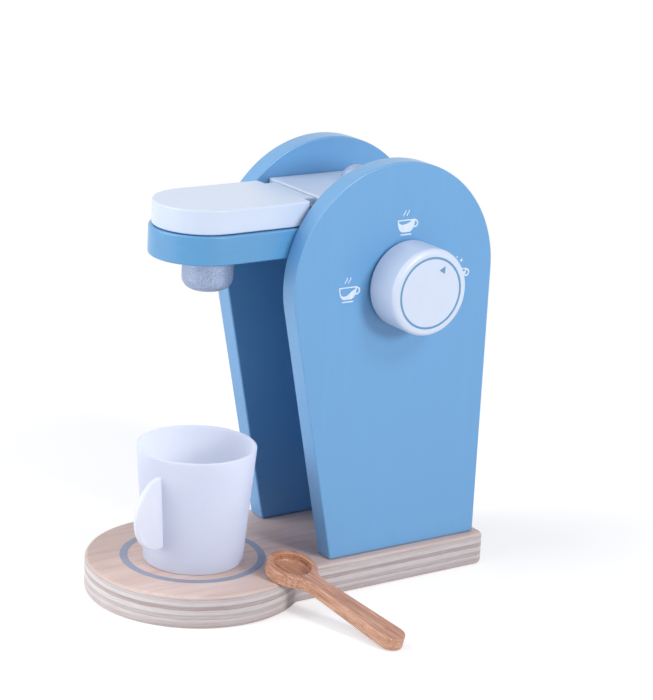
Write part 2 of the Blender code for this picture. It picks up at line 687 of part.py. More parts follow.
def make_cup():
    """Milky cup with a D-shaped fin for a handle, standing over the ring on the base."""
    cup = piece("cup", turned(cup_profile(), (0, 0, 0), (0, 0, CUP_HEIGHT)), MILKY_PLASTIC)
    handle = boolean(cup, cup_handle(), "handle", "UNION")
    handle.parent = cup
    cup.location = (CUP_X, CUP_Y, BASE_TOP + FIT)
    cup.rotation_euler = (0, 0, HANDLE_BEARING)


def scoop_outline():
    """Bowl and handle in one outline; the handle widens from its neck to its round end."""
    end_radius = SCOOP_END_WIDTH / 2
    neck = SCOOP_NECK_WIDTH / 2
    end_u = SCOOP_LENGTH - end_radius
    splay = math.atan2(end_radius - neck, end_u - SCOOP_BOWL_RADIUS)
    side = neck * math.cos(splay) - SCOOP_BOWL_RADIUS * math.sin(splay)
    reach = SCOOP_BOWL_RADIUS + SCOOP_NECK_FILLET
    fillet_v = side + SCOOP_NECK_FILLET
    fillet_u = math.sqrt(reach ** 2 - fillet_v ** 2)
    meet = math.atan2(fillet_v, fillet_u) + splay
    fillet_centre = (reach * math.cos(meet), reach * math.sin(meet))
    bowl = arc((0, 0), SCOOP_BOWL_RADIUS, meet, math.tau - meet, 3 * CORNER_STEPS + EDGE_STEPS)
    lower = arc((fillet_centre[0], -fillet_centre[1]), SCOOP_NECK_FILLET, math.pi - meet,
                math.pi / 2 - splay, FILLET_STEPS)
    end = arc((end_u, 0), end_radius, -math.pi / 2, math.pi / 2, 2 * CORNER_STEPS)
    upper = arc(fillet_centre, SCOOP_NECK_FILLET, splay - math.pi / 2, meet - math.pi, FILLET_STEPS)
    return bowl + lower[1:] + end + upper[:-1]


def hollow_cutter():
    """Dish turned into the scoop's bowl, with a flat floor and a rounded foot to its wall."""
    top = SCOOP_THICKNESS
    floor = top - SCOOP_HOLLOW_DEPTH
    flat = SCOOP_HOLLOW_RADIUS - SCOOP_HOLLOW_ROUND
    foot = arc((flat, floor + SCOOP_HOLLOW_ROUND), SCOOP_HOLLOW_ROUND, -math.pi / 2, 0, CORNER_STEPS)
    above = top + CUT_OVERRUN
    profile = [(0, floor)] + foot + [(SCOOP_HOLLOW_RADIUS, above), (0, above)]
    return turned(profile, (0, 0, 0), (0, 0, top), FINE_STEPS)


def scoop_tilt_and_height(reach):
    """Tilt that lays the bowl on the rim and the handle's end on the floor, and the bowl's height."""
    bowl_flat = SCOOP_BOWL_RADIUS - SCOOP_EDGE
    board_flat = DISC_RADIUS - BASE_EDGE
    swing = math.acos((reach ** 2 + bowl_flat ** 2 - board_flat ** 2) / (2 * reach * bowl_flat))
    touch = bowl_flat * math.cos(math.pi + SCOOP_BEARING - SCOOP_HEADING + swing)
    tilt = math.asin(BASE_TOP / (SCOOP_LENGTH - SCOOP_EDGE - touch))
    edge_centre = BASE_TOP - BASE_EDGE
    return tilt, edge_centre + (BASE_EDGE + FIT) / math.cos(tilt) + touch * math.tan(tilt)


def make_scoop():
    """Scoop in its own frame: bowl centre at the origin, handle along X, underside at Z 0."""
    scoop = piece("scoop", slab(scoop_outline(), flat_xy, 0, SCOOP_THICKNESS), RED_WOOD)
    round_edges(scoop, SCOOP_EDGE)
    hollow = boolean(scoop, hollow_cutter(), "hollow", "DIFFERENCE")
    hollow.parent = scoop
    reach = DISC_RADIUS - SCOOP_RIM_INSET
    tilt, height = scoop_tilt_and_height(reach)
    scoop.location = (reach * math.cos(SCOOP_BEARING), reach * math.sin(SCOOP_BEARING), height)
    scoop.rotation_euler = (0, tilt, SCOOP_HEADING)


def main():
    clear_scene()
    make_base_board()
    make_base_screws()
    make_panels()
    make_panel_dowels()
    make_back_board()
    make_back_dowels()
    make_brew_head()
    make_head_dowels()
    make_spout()
    make_lid()
    make_hinge_rod()
    make_rear_block()
    make_top_dome()
    make_knob()
    make_cup()
    make_scoop()


main()
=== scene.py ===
"""Looks of a wooden toy coffee maker: painted boards, plywood base, milky cup and wooden scoop."""
import math

import bmesh
import bpy
from mathutils import Matrix, Vector


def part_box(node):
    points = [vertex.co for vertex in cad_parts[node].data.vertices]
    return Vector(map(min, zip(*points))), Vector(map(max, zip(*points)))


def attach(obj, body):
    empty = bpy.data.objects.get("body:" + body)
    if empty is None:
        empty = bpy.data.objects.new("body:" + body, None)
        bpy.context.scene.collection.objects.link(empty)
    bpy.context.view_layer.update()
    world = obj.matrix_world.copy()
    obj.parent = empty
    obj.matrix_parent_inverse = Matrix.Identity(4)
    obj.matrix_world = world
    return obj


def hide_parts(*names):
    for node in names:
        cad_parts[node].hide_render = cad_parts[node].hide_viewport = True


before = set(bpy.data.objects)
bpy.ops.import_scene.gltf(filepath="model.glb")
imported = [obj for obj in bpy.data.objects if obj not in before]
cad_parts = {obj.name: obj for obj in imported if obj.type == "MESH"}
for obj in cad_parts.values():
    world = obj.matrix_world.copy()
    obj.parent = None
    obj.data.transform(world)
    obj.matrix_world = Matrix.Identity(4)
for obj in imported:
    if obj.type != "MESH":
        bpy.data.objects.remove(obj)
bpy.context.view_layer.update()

QUARTER = math.pi / 2
SHARP = math.radians(35)
MM = 0.001

# Shapes that the boxes of the solids don't tell, in metres
FIT = 0.0003
CUT_OVERRUN = 0.002
ARCH_RADIUS = 0.0636
FOOT_DEPTH = 0.0967
TONGUE_MARGIN = 0.0058
JUNCTION_FILLET = 0.008
TONGUE_CORNER = 0.006
BASE_EDGE = 0.002
PANEL_EDGE = 0.0009
BOARD_EDGE = 0.001
LID_EDGE = 0.0008
LID_CORNER = 0.0022
LID_TONGUE = 0.0188
ROD_RADIUS = 0.0015
PAD_RADIUS = 0.02
PAD_DEPTH = 0.006
PAD_RIM = 0.0006
PAD_FLOOR_ROUND = 0.001
STEM_RADIUS = 0.004
STEM_LENGTH = 0.007
PIN_CHAMFER = 0.0008
CHAMFERED = 0.8
FLUTES = 16
FLUTE_DEPTH = 0.0003
SPOUT_ROUND = 0.0065
SPOUT_RIM = 0.0004
KNOB_FACE_ROUND = 0.0028
KNOB_BASE_ROUND = 0.0008
SCREW_RADIUS = 0.002
SCREW_HEAD = 0.004
SCREW_RIM = 0.0004
SCREW_HEAD_HEIGHT = 0.003
SCREW_TIP = 0.004
SLOT_REACH = 0.0023
SLOT_HALF_WIDTH = 0.00045
SLOT_DEPTH = 0.0016
SCREW_TWIST = 1.1

# Cup, in its own frame with the handle along X
CUP_PLACE = (0.0026, -0.0024)
CUP_HEIGHT = 0.0642
CUP_BASE_RADIUS = 0.0268
CUP_RIM_RADIUS = 0.0321
CUP_WALL = 0.0016
CUP_FLOOR = 0.0022
CUP_FLOOR_ROUND = 0.003
CUP_HEEL = 0.0008
CUP_FOOT_RISE = 0.0008
CUP_FOOT_WIDTH = 0.0032
HANDLE_RADIUS = 0.0203
HANDLE_THICKNESS = 0.0032
HANDLE_EDGE = 0.0012
HANDLE_RISE = 0.0338
HANDLE_BEARING = math.radians(-69)

# Scoop, in its own frame with the handle along X
SCOOP_PLACE = (0.048856, 0.029939, 0.018809)
SCOOP_TILT = 0.239464
SCOOP_HEADING = math.radians(15.7)
SCOOP_THICKNESS = 0.0069
BOWL_RADIUS = 0.0138
SCOOP_LENGTH = 0.0783
NECK_WIDTH = 0.0086
END_WIDTH = 0.0141
NECK_FILLET = 0.011
SCOOP_EDGE = 0.0006
HOLLOW_RADIUS = 0.0104
HOLLOW_DEPTH = 0.005
HOLLOW_ROUND = 0.0022
HOLLOW_LIP = 0.0005

# Printed marks, in metres
PRINT = 0.00006
PRINT_SINK = 0.00003
BASE_RING = (0.0352, 0.0394)
BASE_RING_Y = -0.001
KNOB_RING = (0.0184, 0.0196)

# Pointer and cup symbols in millimetres, and the places of the symbols in metres
POINTER_ANGLE = math.radians(58.3)
POINTER_TIP = 16.3
POINTER_FOOT = 12.6
POINTER_HALF_WIDTH = 2.15
FULL_CUP = [(-4.85, 2.1), (-4.1, 1.25), (-2.9, 0.8), (-1.4, 0.75), (0.1, 1.05), (1.4, 1.5),
            (2.6, 2.05)]
LOW_CUP = [(-4.75, 0.7), (-4.2, -0.6), (-3.2, -1.4), (-2.0, -1.6), (-0.6, -1.3), (0.9, -0.4),
           (2.3, 0.7), (3.6, 1.5), (4.75, 1.8)]
SYMBOLS = ((FULL_CUP, False, (0.0989, 0.2007)), (LOW_CUP, False, (0.0637, 0.1677)),
           (LOW_CUP, True, (0.1352, 0.17)))
CUP_TOP = 3.4
CUP_HOLLOW = (3.0, -4.95, 2.75)
SPARKLES = ((1.9, 8.0, 1.4), (-1.1, 10.1, 0.8))
SPARKLE_WAIST = 0.35
WISPS = (-2.0, 0.2)

# Light that passes the cup's wall and its handle
WALL_PASSES = 0.54
HANDLE_PASSES = 0.25

# Camera fitted to the photo, lamps as (name, place, size, power), and the lit floor
VIEW_ANGLES = (55.45, 16.86, 2.93)
VIEW_TARGET = Vector((-0.00139, 0.0807, 0.12291))
VIEW_DISTANCE = 1.28313
FOCAL_PIXELS = 2348.6
PHOTO_HEIGHT = 700
SENSOR = 36
LAMP_AIM = Vector((0, 0.06, 0.1))
LAMPS = (("key_from_right", (1.3, 0.38, 0.55), 0.3, 8.0),
         ("high_from_right", (1.1, 0.3, 1.2), 0.36, 4.5),
         ("fill_from_front", (-0.45, -1.4, 0.35), 1.3, 14.5),
         ("soft_from_above", (-0.4, -0.9, 1.3), 1.3, 9.4))
WORLD_LIGHT = 0.4
FLOOR_CENTRE = (0, 0.06, 0)
FLOOR_LIFT = 0.45
GLOW_START = 0.25
GLOW_FULL = 0.6

base_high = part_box("base_board")[1]
panel_low, panel_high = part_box("right_panel")
head_low, head_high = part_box("brew_head")
lid_low, lid_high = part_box("lid")
block_low, block_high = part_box("rear_block")
back_low, back_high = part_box("back_board")
knob_low, knob_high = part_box("knob")
spout_low, spout_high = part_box("spout")
ARCH_Y = panel_high.y - ARCH_RADIUS
ARCH_Z = panel_high.z - ARCH_RADIUS
FOOT_FRONT = panel_high.y - FOOT_DEPTH
HINGE_Y = sum(corner.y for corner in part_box("lid_hinge_rod")) / 2
LID_SHOULDER = HINGE_Y - ROD_RADIUS - 2 * FIT
KNOB_Y = (knob_low.y + knob_high.y) / 2
KNOB_Z = (knob_low.z + knob_high.z) / 2
CUP_MATRIX = (Matrix.Translation((*CUP_PLACE, base_high.z + FIT))
              @ Matrix.Rotation(HANDLE_BEARING, 4, "Z"))
SCOOP_MATRIX = (Matrix.Translation(SCOOP_PLACE) @ Matrix.Rotation(SCOOP_HEADING, 4, "Z")
                @ Matrix.Rotation(SCOOP_TILT, 4, "Y"))


# Outlines

def arc(centre, radius, start, end, steps):
    """Points of a circular arc between two angles, both ends included."""
    angles = [start + (end - start) * i / steps for i in range(steps + 1)]
    return [(centre[0] + radius * math.cos(a), centre[1] + radius * math.sin(a)) for a in angles]


def base_outline():
    """Disc and tongue seen from above."""
    side = panel_high.x + TONGUE_MARGIN
    reach = base_high.x + JUNCTION_FILLET
    fillet_x = side + JUNCTION_FILLET
    fillet_y = math.sqrt(reach ** 2 - fillet_x ** 2)
    meet = math.atan2(fillet_y, fillet_x)
    corner_x, corner_y = side - TONGUE_CORNER, base_high.y - TONGUE_CORNER
    disc = arc((0, 0), base_high.x, math.pi - meet, math.tau + meet, 180)
    right = arc((fillet_x, fillet_y), JUNCTION_FILLET, math.pi + meet, math.pi, 14)
    right_corner = arc((corner_x, corner_y), TONGUE_CORNER, 0, QUARTER, 14)
    left_corner = arc((-corner_x, corner_y), TONGUE_CORNER, QUARTER, math.pi, 14)
    left = arc((-fillet_x, fillet_y), JUNCTION_FILLET, 0, -meet, 14)
    return disc + right[1:] + right_corner + left_corner + left[:-1]


def panel_outline():
    """Side panel seen from the side: an arch on a foot, with its front edge leaning."""
    across, down = FOOT_FRONT - ARCH_Y, panel_low.z - ARCH_Z
    lean = math.atan2(down, across) - math.acos(ARCH_RADIUS / math.hypot(across, down))
    arch = arc((ARCH_Y, ARCH_Z), ARCH_RADIUS, 0, lean % math.tau, 150)
    return [(panel_high.y, panel_low.z)] + arch + [(FOOT_FRONT, panel_low.z)]


def round_front(half_width, front):
    """The half-round front of a board, seen from above."""
    return arc((0, front + half_width), half_width, math.pi, math.tau, 120)


def box_outline(low_a, high_a, low_b, high_b):
    return [(low_a, low_b), (high_a, low_b), (high_a, high_b), (low_a, high_b)]


def scoop_outline():
    """Round bowl and a handle that widens from its neck to its round end."""
    end_radius, neck = END_WIDTH / 2, NECK_WIDTH / 2
    end_u = SCOOP_LENGTH - end_radius
    splay = math.atan2(end_radius - neck, end_u - BOWL_RADIUS)
    side = neck * math.cos(splay) - BOWL_RADIUS * math.sin(splay)
    reach = BOWL_RADIUS + NECK_FILLET
    fillet_v = side + NECK_FILLET
    meet = math.atan2(fillet_v, math.sqrt(reach ** 2 - fillet_v ** 2)) + splay
    middle = (reach * math.cos(meet), reach * math.sin(meet))
    bowl = arc((0, 0), BOWL_RADIUS, meet, math.tau - meet, 72)
    lower = arc((middle[0], -middle[1]), NECK_FILLET, math.pi - meet, QUARTER - splay, 16)
    end = arc((end_u, 0), end_radius, -QUARTER, QUARTER, 36)
    upper = arc(middle, NECK_FILLET, splay - QUARTER, meet - math.pi, 16)
    return bowl + lower[1:] + end + upper[:-1]


# Solids

def flat_xy(a, b, height):
    return (a, b, height)


def flat_yz(a, b, height):
    return (height, a, b)


def slab(outline, plane, low, high):
    """A solid between two parallel copies of an outline."""
    bm = bmesh.new()
    face = bm.faces.new([bm.verts.new(plane(a, b, low)) for a, b in outline])
    grown = bmesh.ops.extrude_face_region(bm, geom=[face])["geom"]
    far_side = [part for part in grown if isinstance(part, bmesh.types.BMVert)]
    bmesh.ops.translate(bm, vec=Vector(plane(0, 0, high - low)), verts=far_side)
    return bm


def new_item(name, bm):
    bmesh.ops.recalc_face_normals(bm, faces=bm.faces)
    mesh = bpy.data.meshes.new(name)
    bm.to_mesh(mesh)
    bm.free()
    item = bpy.data.objects.new(name, mesh)
    bpy.context.collection.objects.link(item)
    return item


def settle(item):
    """Turns a piece with its modifiers into one plain mesh."""
    bpy.context.view_layer.update()
    graph = bpy.context.evaluated_depsgraph_get()
    plain = bpy.data.meshes.new_from_object(item.evaluated_get(graph), depsgraph=graph,
                                            preserve_all_data_layers=True)
    item.modifiers.clear()
    rough = item.data
    item.data = plain
    bpy.data.meshes.remove(rough)
    plain.name = item.name


def round_edges(item, width, segments=5):
    bevel = item.modifiers.new("rounded edges", "BEVEL")
    bevel.width = width
    bevel.segments = segments
    bevel.limit_method = "ANGLE"
    bevel.angle_limit = SHARP
    settle(item)


def combine(item, bm, operation="DIFFERENCE"):
    """Cuts another solid from a piece, joins it on, or keeps what both share."""
    tool = new_item("tool", bm)
    modifier = item.modifiers.new("tool", "BOOLEAN")
    modifier.operation = operation
    modifier.solver = "EXACT"
    modifier.object = tool
    settle(item)
    bpy.data.objects.remove(tool, do_unlink=True)


def shade(item, angle=SHARP):
    """Smooth rounds beside flats that stay flat."""
    item.data.shade_smooth()
    item.data.set_sharp_from_angle(angle=angle)
    weigh = item.modifiers.new("flat faces", "WEIGHTED_NORMAL")
    weigh.keep_sharp = True
    weigh.weight = 50
    settle(item)


def fit(item, finish, body, slot, *nodes):
    """Gives a finished piece its material and its body, and hides the solids that it stands for."""
    item.data.materials.clear()
    item.data.materials.append(finish)
    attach(item, body)
    if nodes:
        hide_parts(*nodes)


def longest(size):
    """The axis along which a piece is longest."""
    return max(range(3), key=lambda axis: size[axis])


def add_rod(bm, radius, length, matrix):
    """Adds a straight rod to a cutter."""
    bmesh.ops.create_cone(bm, cap_ends=True, segments=48, radius1=radius, radius2=radius,
                          depth=length, matrix=matrix)


def add_pin_hole(bm, node):
    """Adds to a cutter the hole round one of the model's straight pins."""
    low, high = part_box(node)
    size = high - low
    axis = longest(size)
    turn = (Matrix.Rotation(QUARTER, 4, "Y"), Matrix.Rotation(QUARTER, 4, "X"),
            Matrix.Identity(4))[axis]
    add_rod(bm, min(size) / 2 + FIT, size[axis] + 2 * FIT,
            Matrix.Translation((low + high) / 2) @ turn)


def add_round_hole(bm, centre, radius, low, high):
    """Adds an upright round hole to a cutter."""
    add_rod(bm, radius, high - low, Matrix.Translation((*centre, (low + high) / 2)))


def add_screw_holes(bm, takes):
    """Adds to a cutter the shank holes of the screws whose place a piece takes."""
    for screw in SCREWS:
        centre = middle_of(screw)
        if takes(centre):
            add_round_hole(bm, centre.to_2d(), SCREW_RADIUS + FIT, 0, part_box(screw)[1].z + FIT)


def pin_holes(*nodes):
    bm = bmesh.new()
    for node in nodes:
        add_pin_hole(bm, node)
    return bm


def middle_of(node):
    low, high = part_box(node)
    return (low + high) / 2


# Node trees

def add(tree, kind, inputs=None, **settings):
    """Adds a node. An input is a value, or the socket that feeds it."""
    node = tree.nodes.new(kind)
    for key, value in settings.items():
        setattr(node, key, value)
    for key, value in (inputs or {}).items():
        if isinstance(value, bpy.types.NodeSocket):
            tree.links.new(value, node.inputs[key])
        else:
            node.inputs[key].default_value = value
    return node


def new_tree(name, result, **inputs):
    """A geometry node tree with its named inputs, and the sockets that give them."""
    tree = bpy.data.node_groups.new(name, "GeometryNodeTree")
    for key, kind in inputs.items():
        tree.interface.new_socket(key.replace("_", " ").title(), in_out="INPUT",
                                  socket_type="NodeSocket" + kind)
    tree.interface.new_socket(result, in_out="OUTPUT", socket_type="NodeSocketGeometry")
    return tree, add(tree, "NodeGroupInput").outputs


def end_tree(tree, shape, finish):
    """Ends a geometry node tree with real geometry that has its material."""
    real = add(tree, "GeometryNodeRealizeInstances", {"Geometry": shape})
    finished = add(tree, "GeometryNodeSetMaterial",
                   {"Geometry": real.outputs[0], "Material": finish})
    add(tree, "NodeGroupOutput", {0: finished.outputs[0]})
    return tree


def lathe_tree():
    """Geometry nodes that turn a profile, kept as (radius, 0, height) points, round the Z axis."""
    tree, given = new_tree("lathe", "Turned Piece", profile="Geometry", steps_round="Int",
                           finish="Material")
    profile, steps = given["Profile"], given["Steps Round"]
    rows = add(tree, "GeometryNodeAttributeDomainSize", {0: profile},
               component="MESH").outputs["Point Count"]
    grid = add(tree, "GeometryNodeMeshGrid",
               {"Vertices X": calc(tree, "ADD", steps, 1.0), "Vertices Y": rows})
    index = add(tree, "GeometryNodeInputIndex").outputs[0]
    row, column = (add(tree, "FunctionNodeIntegerMath", {0: index, 1: rows},
                       operation=kind).outputs[0] for kind in ("MODULO", "DIVIDE_FLOOR"))
    position = add(tree, "GeometryNodeInputPosition").outputs[0]
    drawn = add(tree, "GeometryNodeSampleIndex", {"Geometry": profile, "Index": row},
                data_type="FLOAT_VECTOR")
    tree.links.new(position, drawn.inputs["Value"])
    point = split(tree, drawn.outputs["Value"])
    angle = calc(tree, "MULTIPLY", calc(tree, "DIVIDE", column, steps), math.tau)
    across = [calc(tree, "MULTIPLY", point["X"], calc(tree, kind, angle))
              for kind in ("COSINE", "SINE")]
    place = add(tree, "ShaderNodeCombineXYZ", {0: across[0], 1: across[1], 2: point["Z"]})
    shaped = add(tree, "GeometryNodeSetPosition",
                 {"Geometry": grid.outputs["Mesh"], "Position": place.outputs[0]})
    closed = add(tree, "GeometryNodeMergeByDistance",
                 {"Geometry": shaped.outputs[0], "Distance": 0.000002})
    return end_tree(tree, closed.outputs[0], given["Finish"])


def dowel_tree():
    """Geometry nodes that make a fluted dowel along each line of points."""
    tree, given = new_tree("fluted dowels", "Dowels", axes="Geometry", radius="Float",
                           flutes="Int", flute_depth="Float", finish="Material")
    lines = add(tree, "GeometryNodeMeshToCurve", {0: given["Axes"]})
    width = add(tree, "GeometryNodeInputNamedAttribute", {"Name": "width"}, data_type="FLOAT")
    sized = add(tree, "GeometryNodeSetCurveRadius",
                {"Curve": lines.outputs[0], "Radius": width.outputs[0]})
    groove = calc(tree, "SUBTRACT", given["Radius"], given["Flute Depth"])
    star = add(tree, "GeometryNodeCurveStar",
               {"Points": given["Flutes"], "Inner Radius": groove, "Outer Radius": given["Radius"]})
    rods = add(tree, "GeometryNodeCurveToMesh",
               {"Curve": sized.outputs[0], "Profile Curve": star.outputs[0], "Fill Caps": True})
    return end_tree(tree, rods.outputs[0], given["Finish"])


def screw_tree():
    """Geometry nodes that set one screw at each point, each turned on from the one before."""
    tree, given = new_tree("screws", "Screws", places="Geometry", screw="Object",
                           finish="Material")
    points = add(tree, "GeometryNodeMeshToPoints", {"Mesh": given["Places"]})
    screw = add(tree, "GeometryNodeObjectInfo", {"Object": given["Screw"]})
    number = add(tree, "GeometryNodeInputIndex").outputs[0]
    spin = add(tree, "ShaderNodeCombineXYZ", {2: calc(tree, "MULTIPLY", number, SCREW_TWIST)})
    rotation = add(tree, "FunctionNodeEulerToRotation", {0: spin.outputs[0]})
    placed = add(tree, "GeometryNodeInstanceOnPoints",
                 {"Points": points.outputs[0], "Instance": screw.outputs["Geometry"],
                  "Rotation": rotation.outputs[0]})
    return end_tree(tree, placed.outputs[0], given["Finish"])


def run_tree(item, tree, **values):
    """Runs a geometry node tree on a piece and keeps the result as its plain mesh."""
    modifier = item.modifiers.new(tree.name, "NODES")
    modifier.node_group = tree
    for socket in tree.interface.items_tree:
        key = socket.name.replace(" ", "_").lower()
        if socket.in_out == "INPUT" and key in values:
            modifier[socket.identifier] = values[key]
    settle(item)


def turned(name, profile, finish, matrix, steps=96):
    """A solid of revolution from (radius, height) points, then carried to its place."""
    bm = bmesh.new()
    points = [bm.verts.new((radius, 0, height)) for radius, height in profile]
    for pair in zip(points, points[1:]):
        bm.edges.new(pair)
    item = new_item(name, bm)
    run_tree(item, LATHE, steps_round=steps, finish=finish)
    bm = bmesh.new()
    bm.from_mesh(item.data)
    bmesh.ops.dissolve_degenerate(bm, dist=0.000001, edges=bm.edges)
    bm.transform(matrix)
    bmesh.ops.recalc_face_normals(bm, faces=bm.faces)
    bm.to_mesh(item.data)
    bm.free()
    return item


def turned_cutter(profile, steps, *places):
    """A cutter that holds one turned shape at each placement."""
    bm = bmesh.new()
    for place in places:
        shape = turned("cutter", profile, None, place, steps)
        bm.from_mesh(shape.data)
        bpy.data.objects.remove(shape, do_unlink=True)
    return bm


def carried_to(start, end):
    """Placement of a turned piece whose Z axis runs from start to end."""
    start, end = Vector(start), Vector(end)
    return Matrix.Translation(start) @ (end - start).to_track_quat("Z", "Y").to_matrix().to_4x4()


# Materials

def new_finish(name):
    material = bpy.data.materials.new(name)
    material.use_nodes = True
    tree = material.node_tree
    return material, tree, tree.nodes["Principled BSDF"]


def dress(tree, shader, base, roughness, relief=None, **fixed):
    """Links a finish's colour, roughness and relief, and sets its even values."""
    tree.links.new(base, shader.inputs["Base Color"])
    tree.links.new(roughness, shader.inputs["Roughness"])
    if relief:
        tree.links.new(relief, shader.inputs["Normal"])
    for key, value in fixed.items():
        shader.inputs[key.replace("_", " ").title()].default_value = value


def mix_to(tree, output, share, first, second):
    """Mixes two shaders on their way to a tree's output."""
    mixed = add(tree, "ShaderNodeMixShader", {0: share, 1: first.outputs[0], 2: second.outputs[0]})
    tree.links.new(mixed.outputs[0], tree.nodes[output].inputs["Surface"])


def here(tree, place=(0, 0, 0), turn=(0, 0, 0), stretch=(1, 1, 1)):
    """Object coordinates, centred and turned on a piece, then stretched."""
    where = add(tree, "ShaderNodeTexCoord").outputs["Object"]
    if any(place) or any(turn):
        where = add(tree, "ShaderNodeMapping",
                    {"Vector": where, "Location": place, "Rotation": turn},
                    vector_type="TEXTURE").outputs[0]
    if stretch != (1, 1, 1):
        where = add(tree, "ShaderNodeMapping", {"Vector": where, "Scale": stretch}).outputs[0]
    return where


def noise(tree, where, scale, detail=2.0, roughness=0.5, distortion=0.0):
    return add(tree, "ShaderNodeTexNoise",
               {"Vector": where, "Scale": scale, "Detail": detail, "Roughness": roughness,
                "Distortion": distortion}).outputs["Fac"]


def streaks(tree, stretch, detail, roughness=0.5, distortion=0.0, **own):
    """Noise that is drawn out on a piece, with its fineness on each axis."""
    return noise(tree, here(tree, stretch=stretch, **own), 1.0, detail, roughness, distortion)


def spread(tree, value, low=0.3, high=0.7, to_low=0.0, to_high=1.0):
    """Maps a range of values onto another, and holds it there."""
    return add(tree, "ShaderNodeMapRange",
               {"Value": value, "From Min": low, "From Max": high, "To Min": to_low,
                "To Max": to_high}).outputs["Result"]


def calc(tree, operation, a, b=0.0, clamp=False):
    return add(tree, "ShaderNodeMath", {0: a, 1: b}, operation=operation,
               use_clamp=clamp).outputs[0]


def weighted(tree, first, share, second):
    """The mean of two values, with the share that the first one has in it."""
    return calc(tree, "ADD", calc(tree, "MULTIPLY", first, share),
                calc(tree, "MULTIPLY", second, 1 - share))


def length_of(tree, where):
    return add(tree, "ShaderNodeVectorMath", {0: where}, operation="LENGTH").outputs["Value"]


def blend(tree, factor, first, second, kind="MIX"):
    """Mixes two colours."""
    node = add(tree, "ShaderNodeMix", {0: factor}, data_type="RGBA", blend_type=kind)
    for key, value in ((6, first), (7, second)):
        if isinstance(value, bpy.types.NodeSocket):
            tree.links.new(value, node.inputs[key])
        else:
            node.inputs[key].default_value = (*value, 1.0)
    return node.outputs[2]


def colours(tree, factor, *stops):
    """A colour ramp with its stops at the given positions."""
    node = add(tree, "ShaderNodeValToRGB", {0: factor})
    while len(node.color_ramp.elements) < len(stops):
        node.color_ramp.elements.new(0.5)
    for element, (position, colour) in zip(node.color_ramp.elements, stops):
        element.position = position
        element.color = (*colour, 1.0)
    return node.outputs[0]


def bump(tree, height, depth, under=None):
    """Surface relief whose full height is depth metres."""
    node = add(tree, "ShaderNodeBump", {"Height": height, "Distance": depth})
    if under:
        tree.links.new(under, node.inputs["Normal"])
    return node.outputs[0]


def facing(tree):
    """The surface's direction, in the piece's own axes."""
    return add(tree, "ShaderNodeTexCoord").outputs["Normal"]


def split(tree, vector):
    return add(tree, "ShaderNodeSeparateXYZ", {0: vector}).outputs


def shades(colour, amount):
    """A darker and a lighter shade of one colour."""
    return [tuple(min(1, c * factor) for c in colour) for factor in (1 - amount, 1 + amount)]


def along_axis(axis, fine, long):
    """How much a noise is stretched on each axis when its streaks run along one of them."""
    return tuple(long if i == axis else fine for i in range(3))


def paint(name, colour, lengthwise, streak=0.03):
    """Satin paint over sanded board: cloudy, faintly streaked along the grain, finely rolled."""
    material, tree, shader = new_finish(name)
    clouds = noise(tree, here(tree), 16.0, 3.0)
    grain = streaks(tree, along_axis(lengthwise, 180.0, 7.0), 4.0, 0.6)
    rolled = noise(tree, here(tree), 620.0, 2.0, 0.6)
    tone = spread(tree, weighted(tree, clouds, 0.35, grain))
    dress(tree, shader, blend(tree, tone, *shades(colour, streak)),
          spread(tree, rolled, 0.2, 0.8, 0.37, 0.49),
          bump(tree, grain, 0.00006, bump(tree, rolled, 0.00003)),
          coat_weight=0.6, coat_roughness=0.3)
    return material


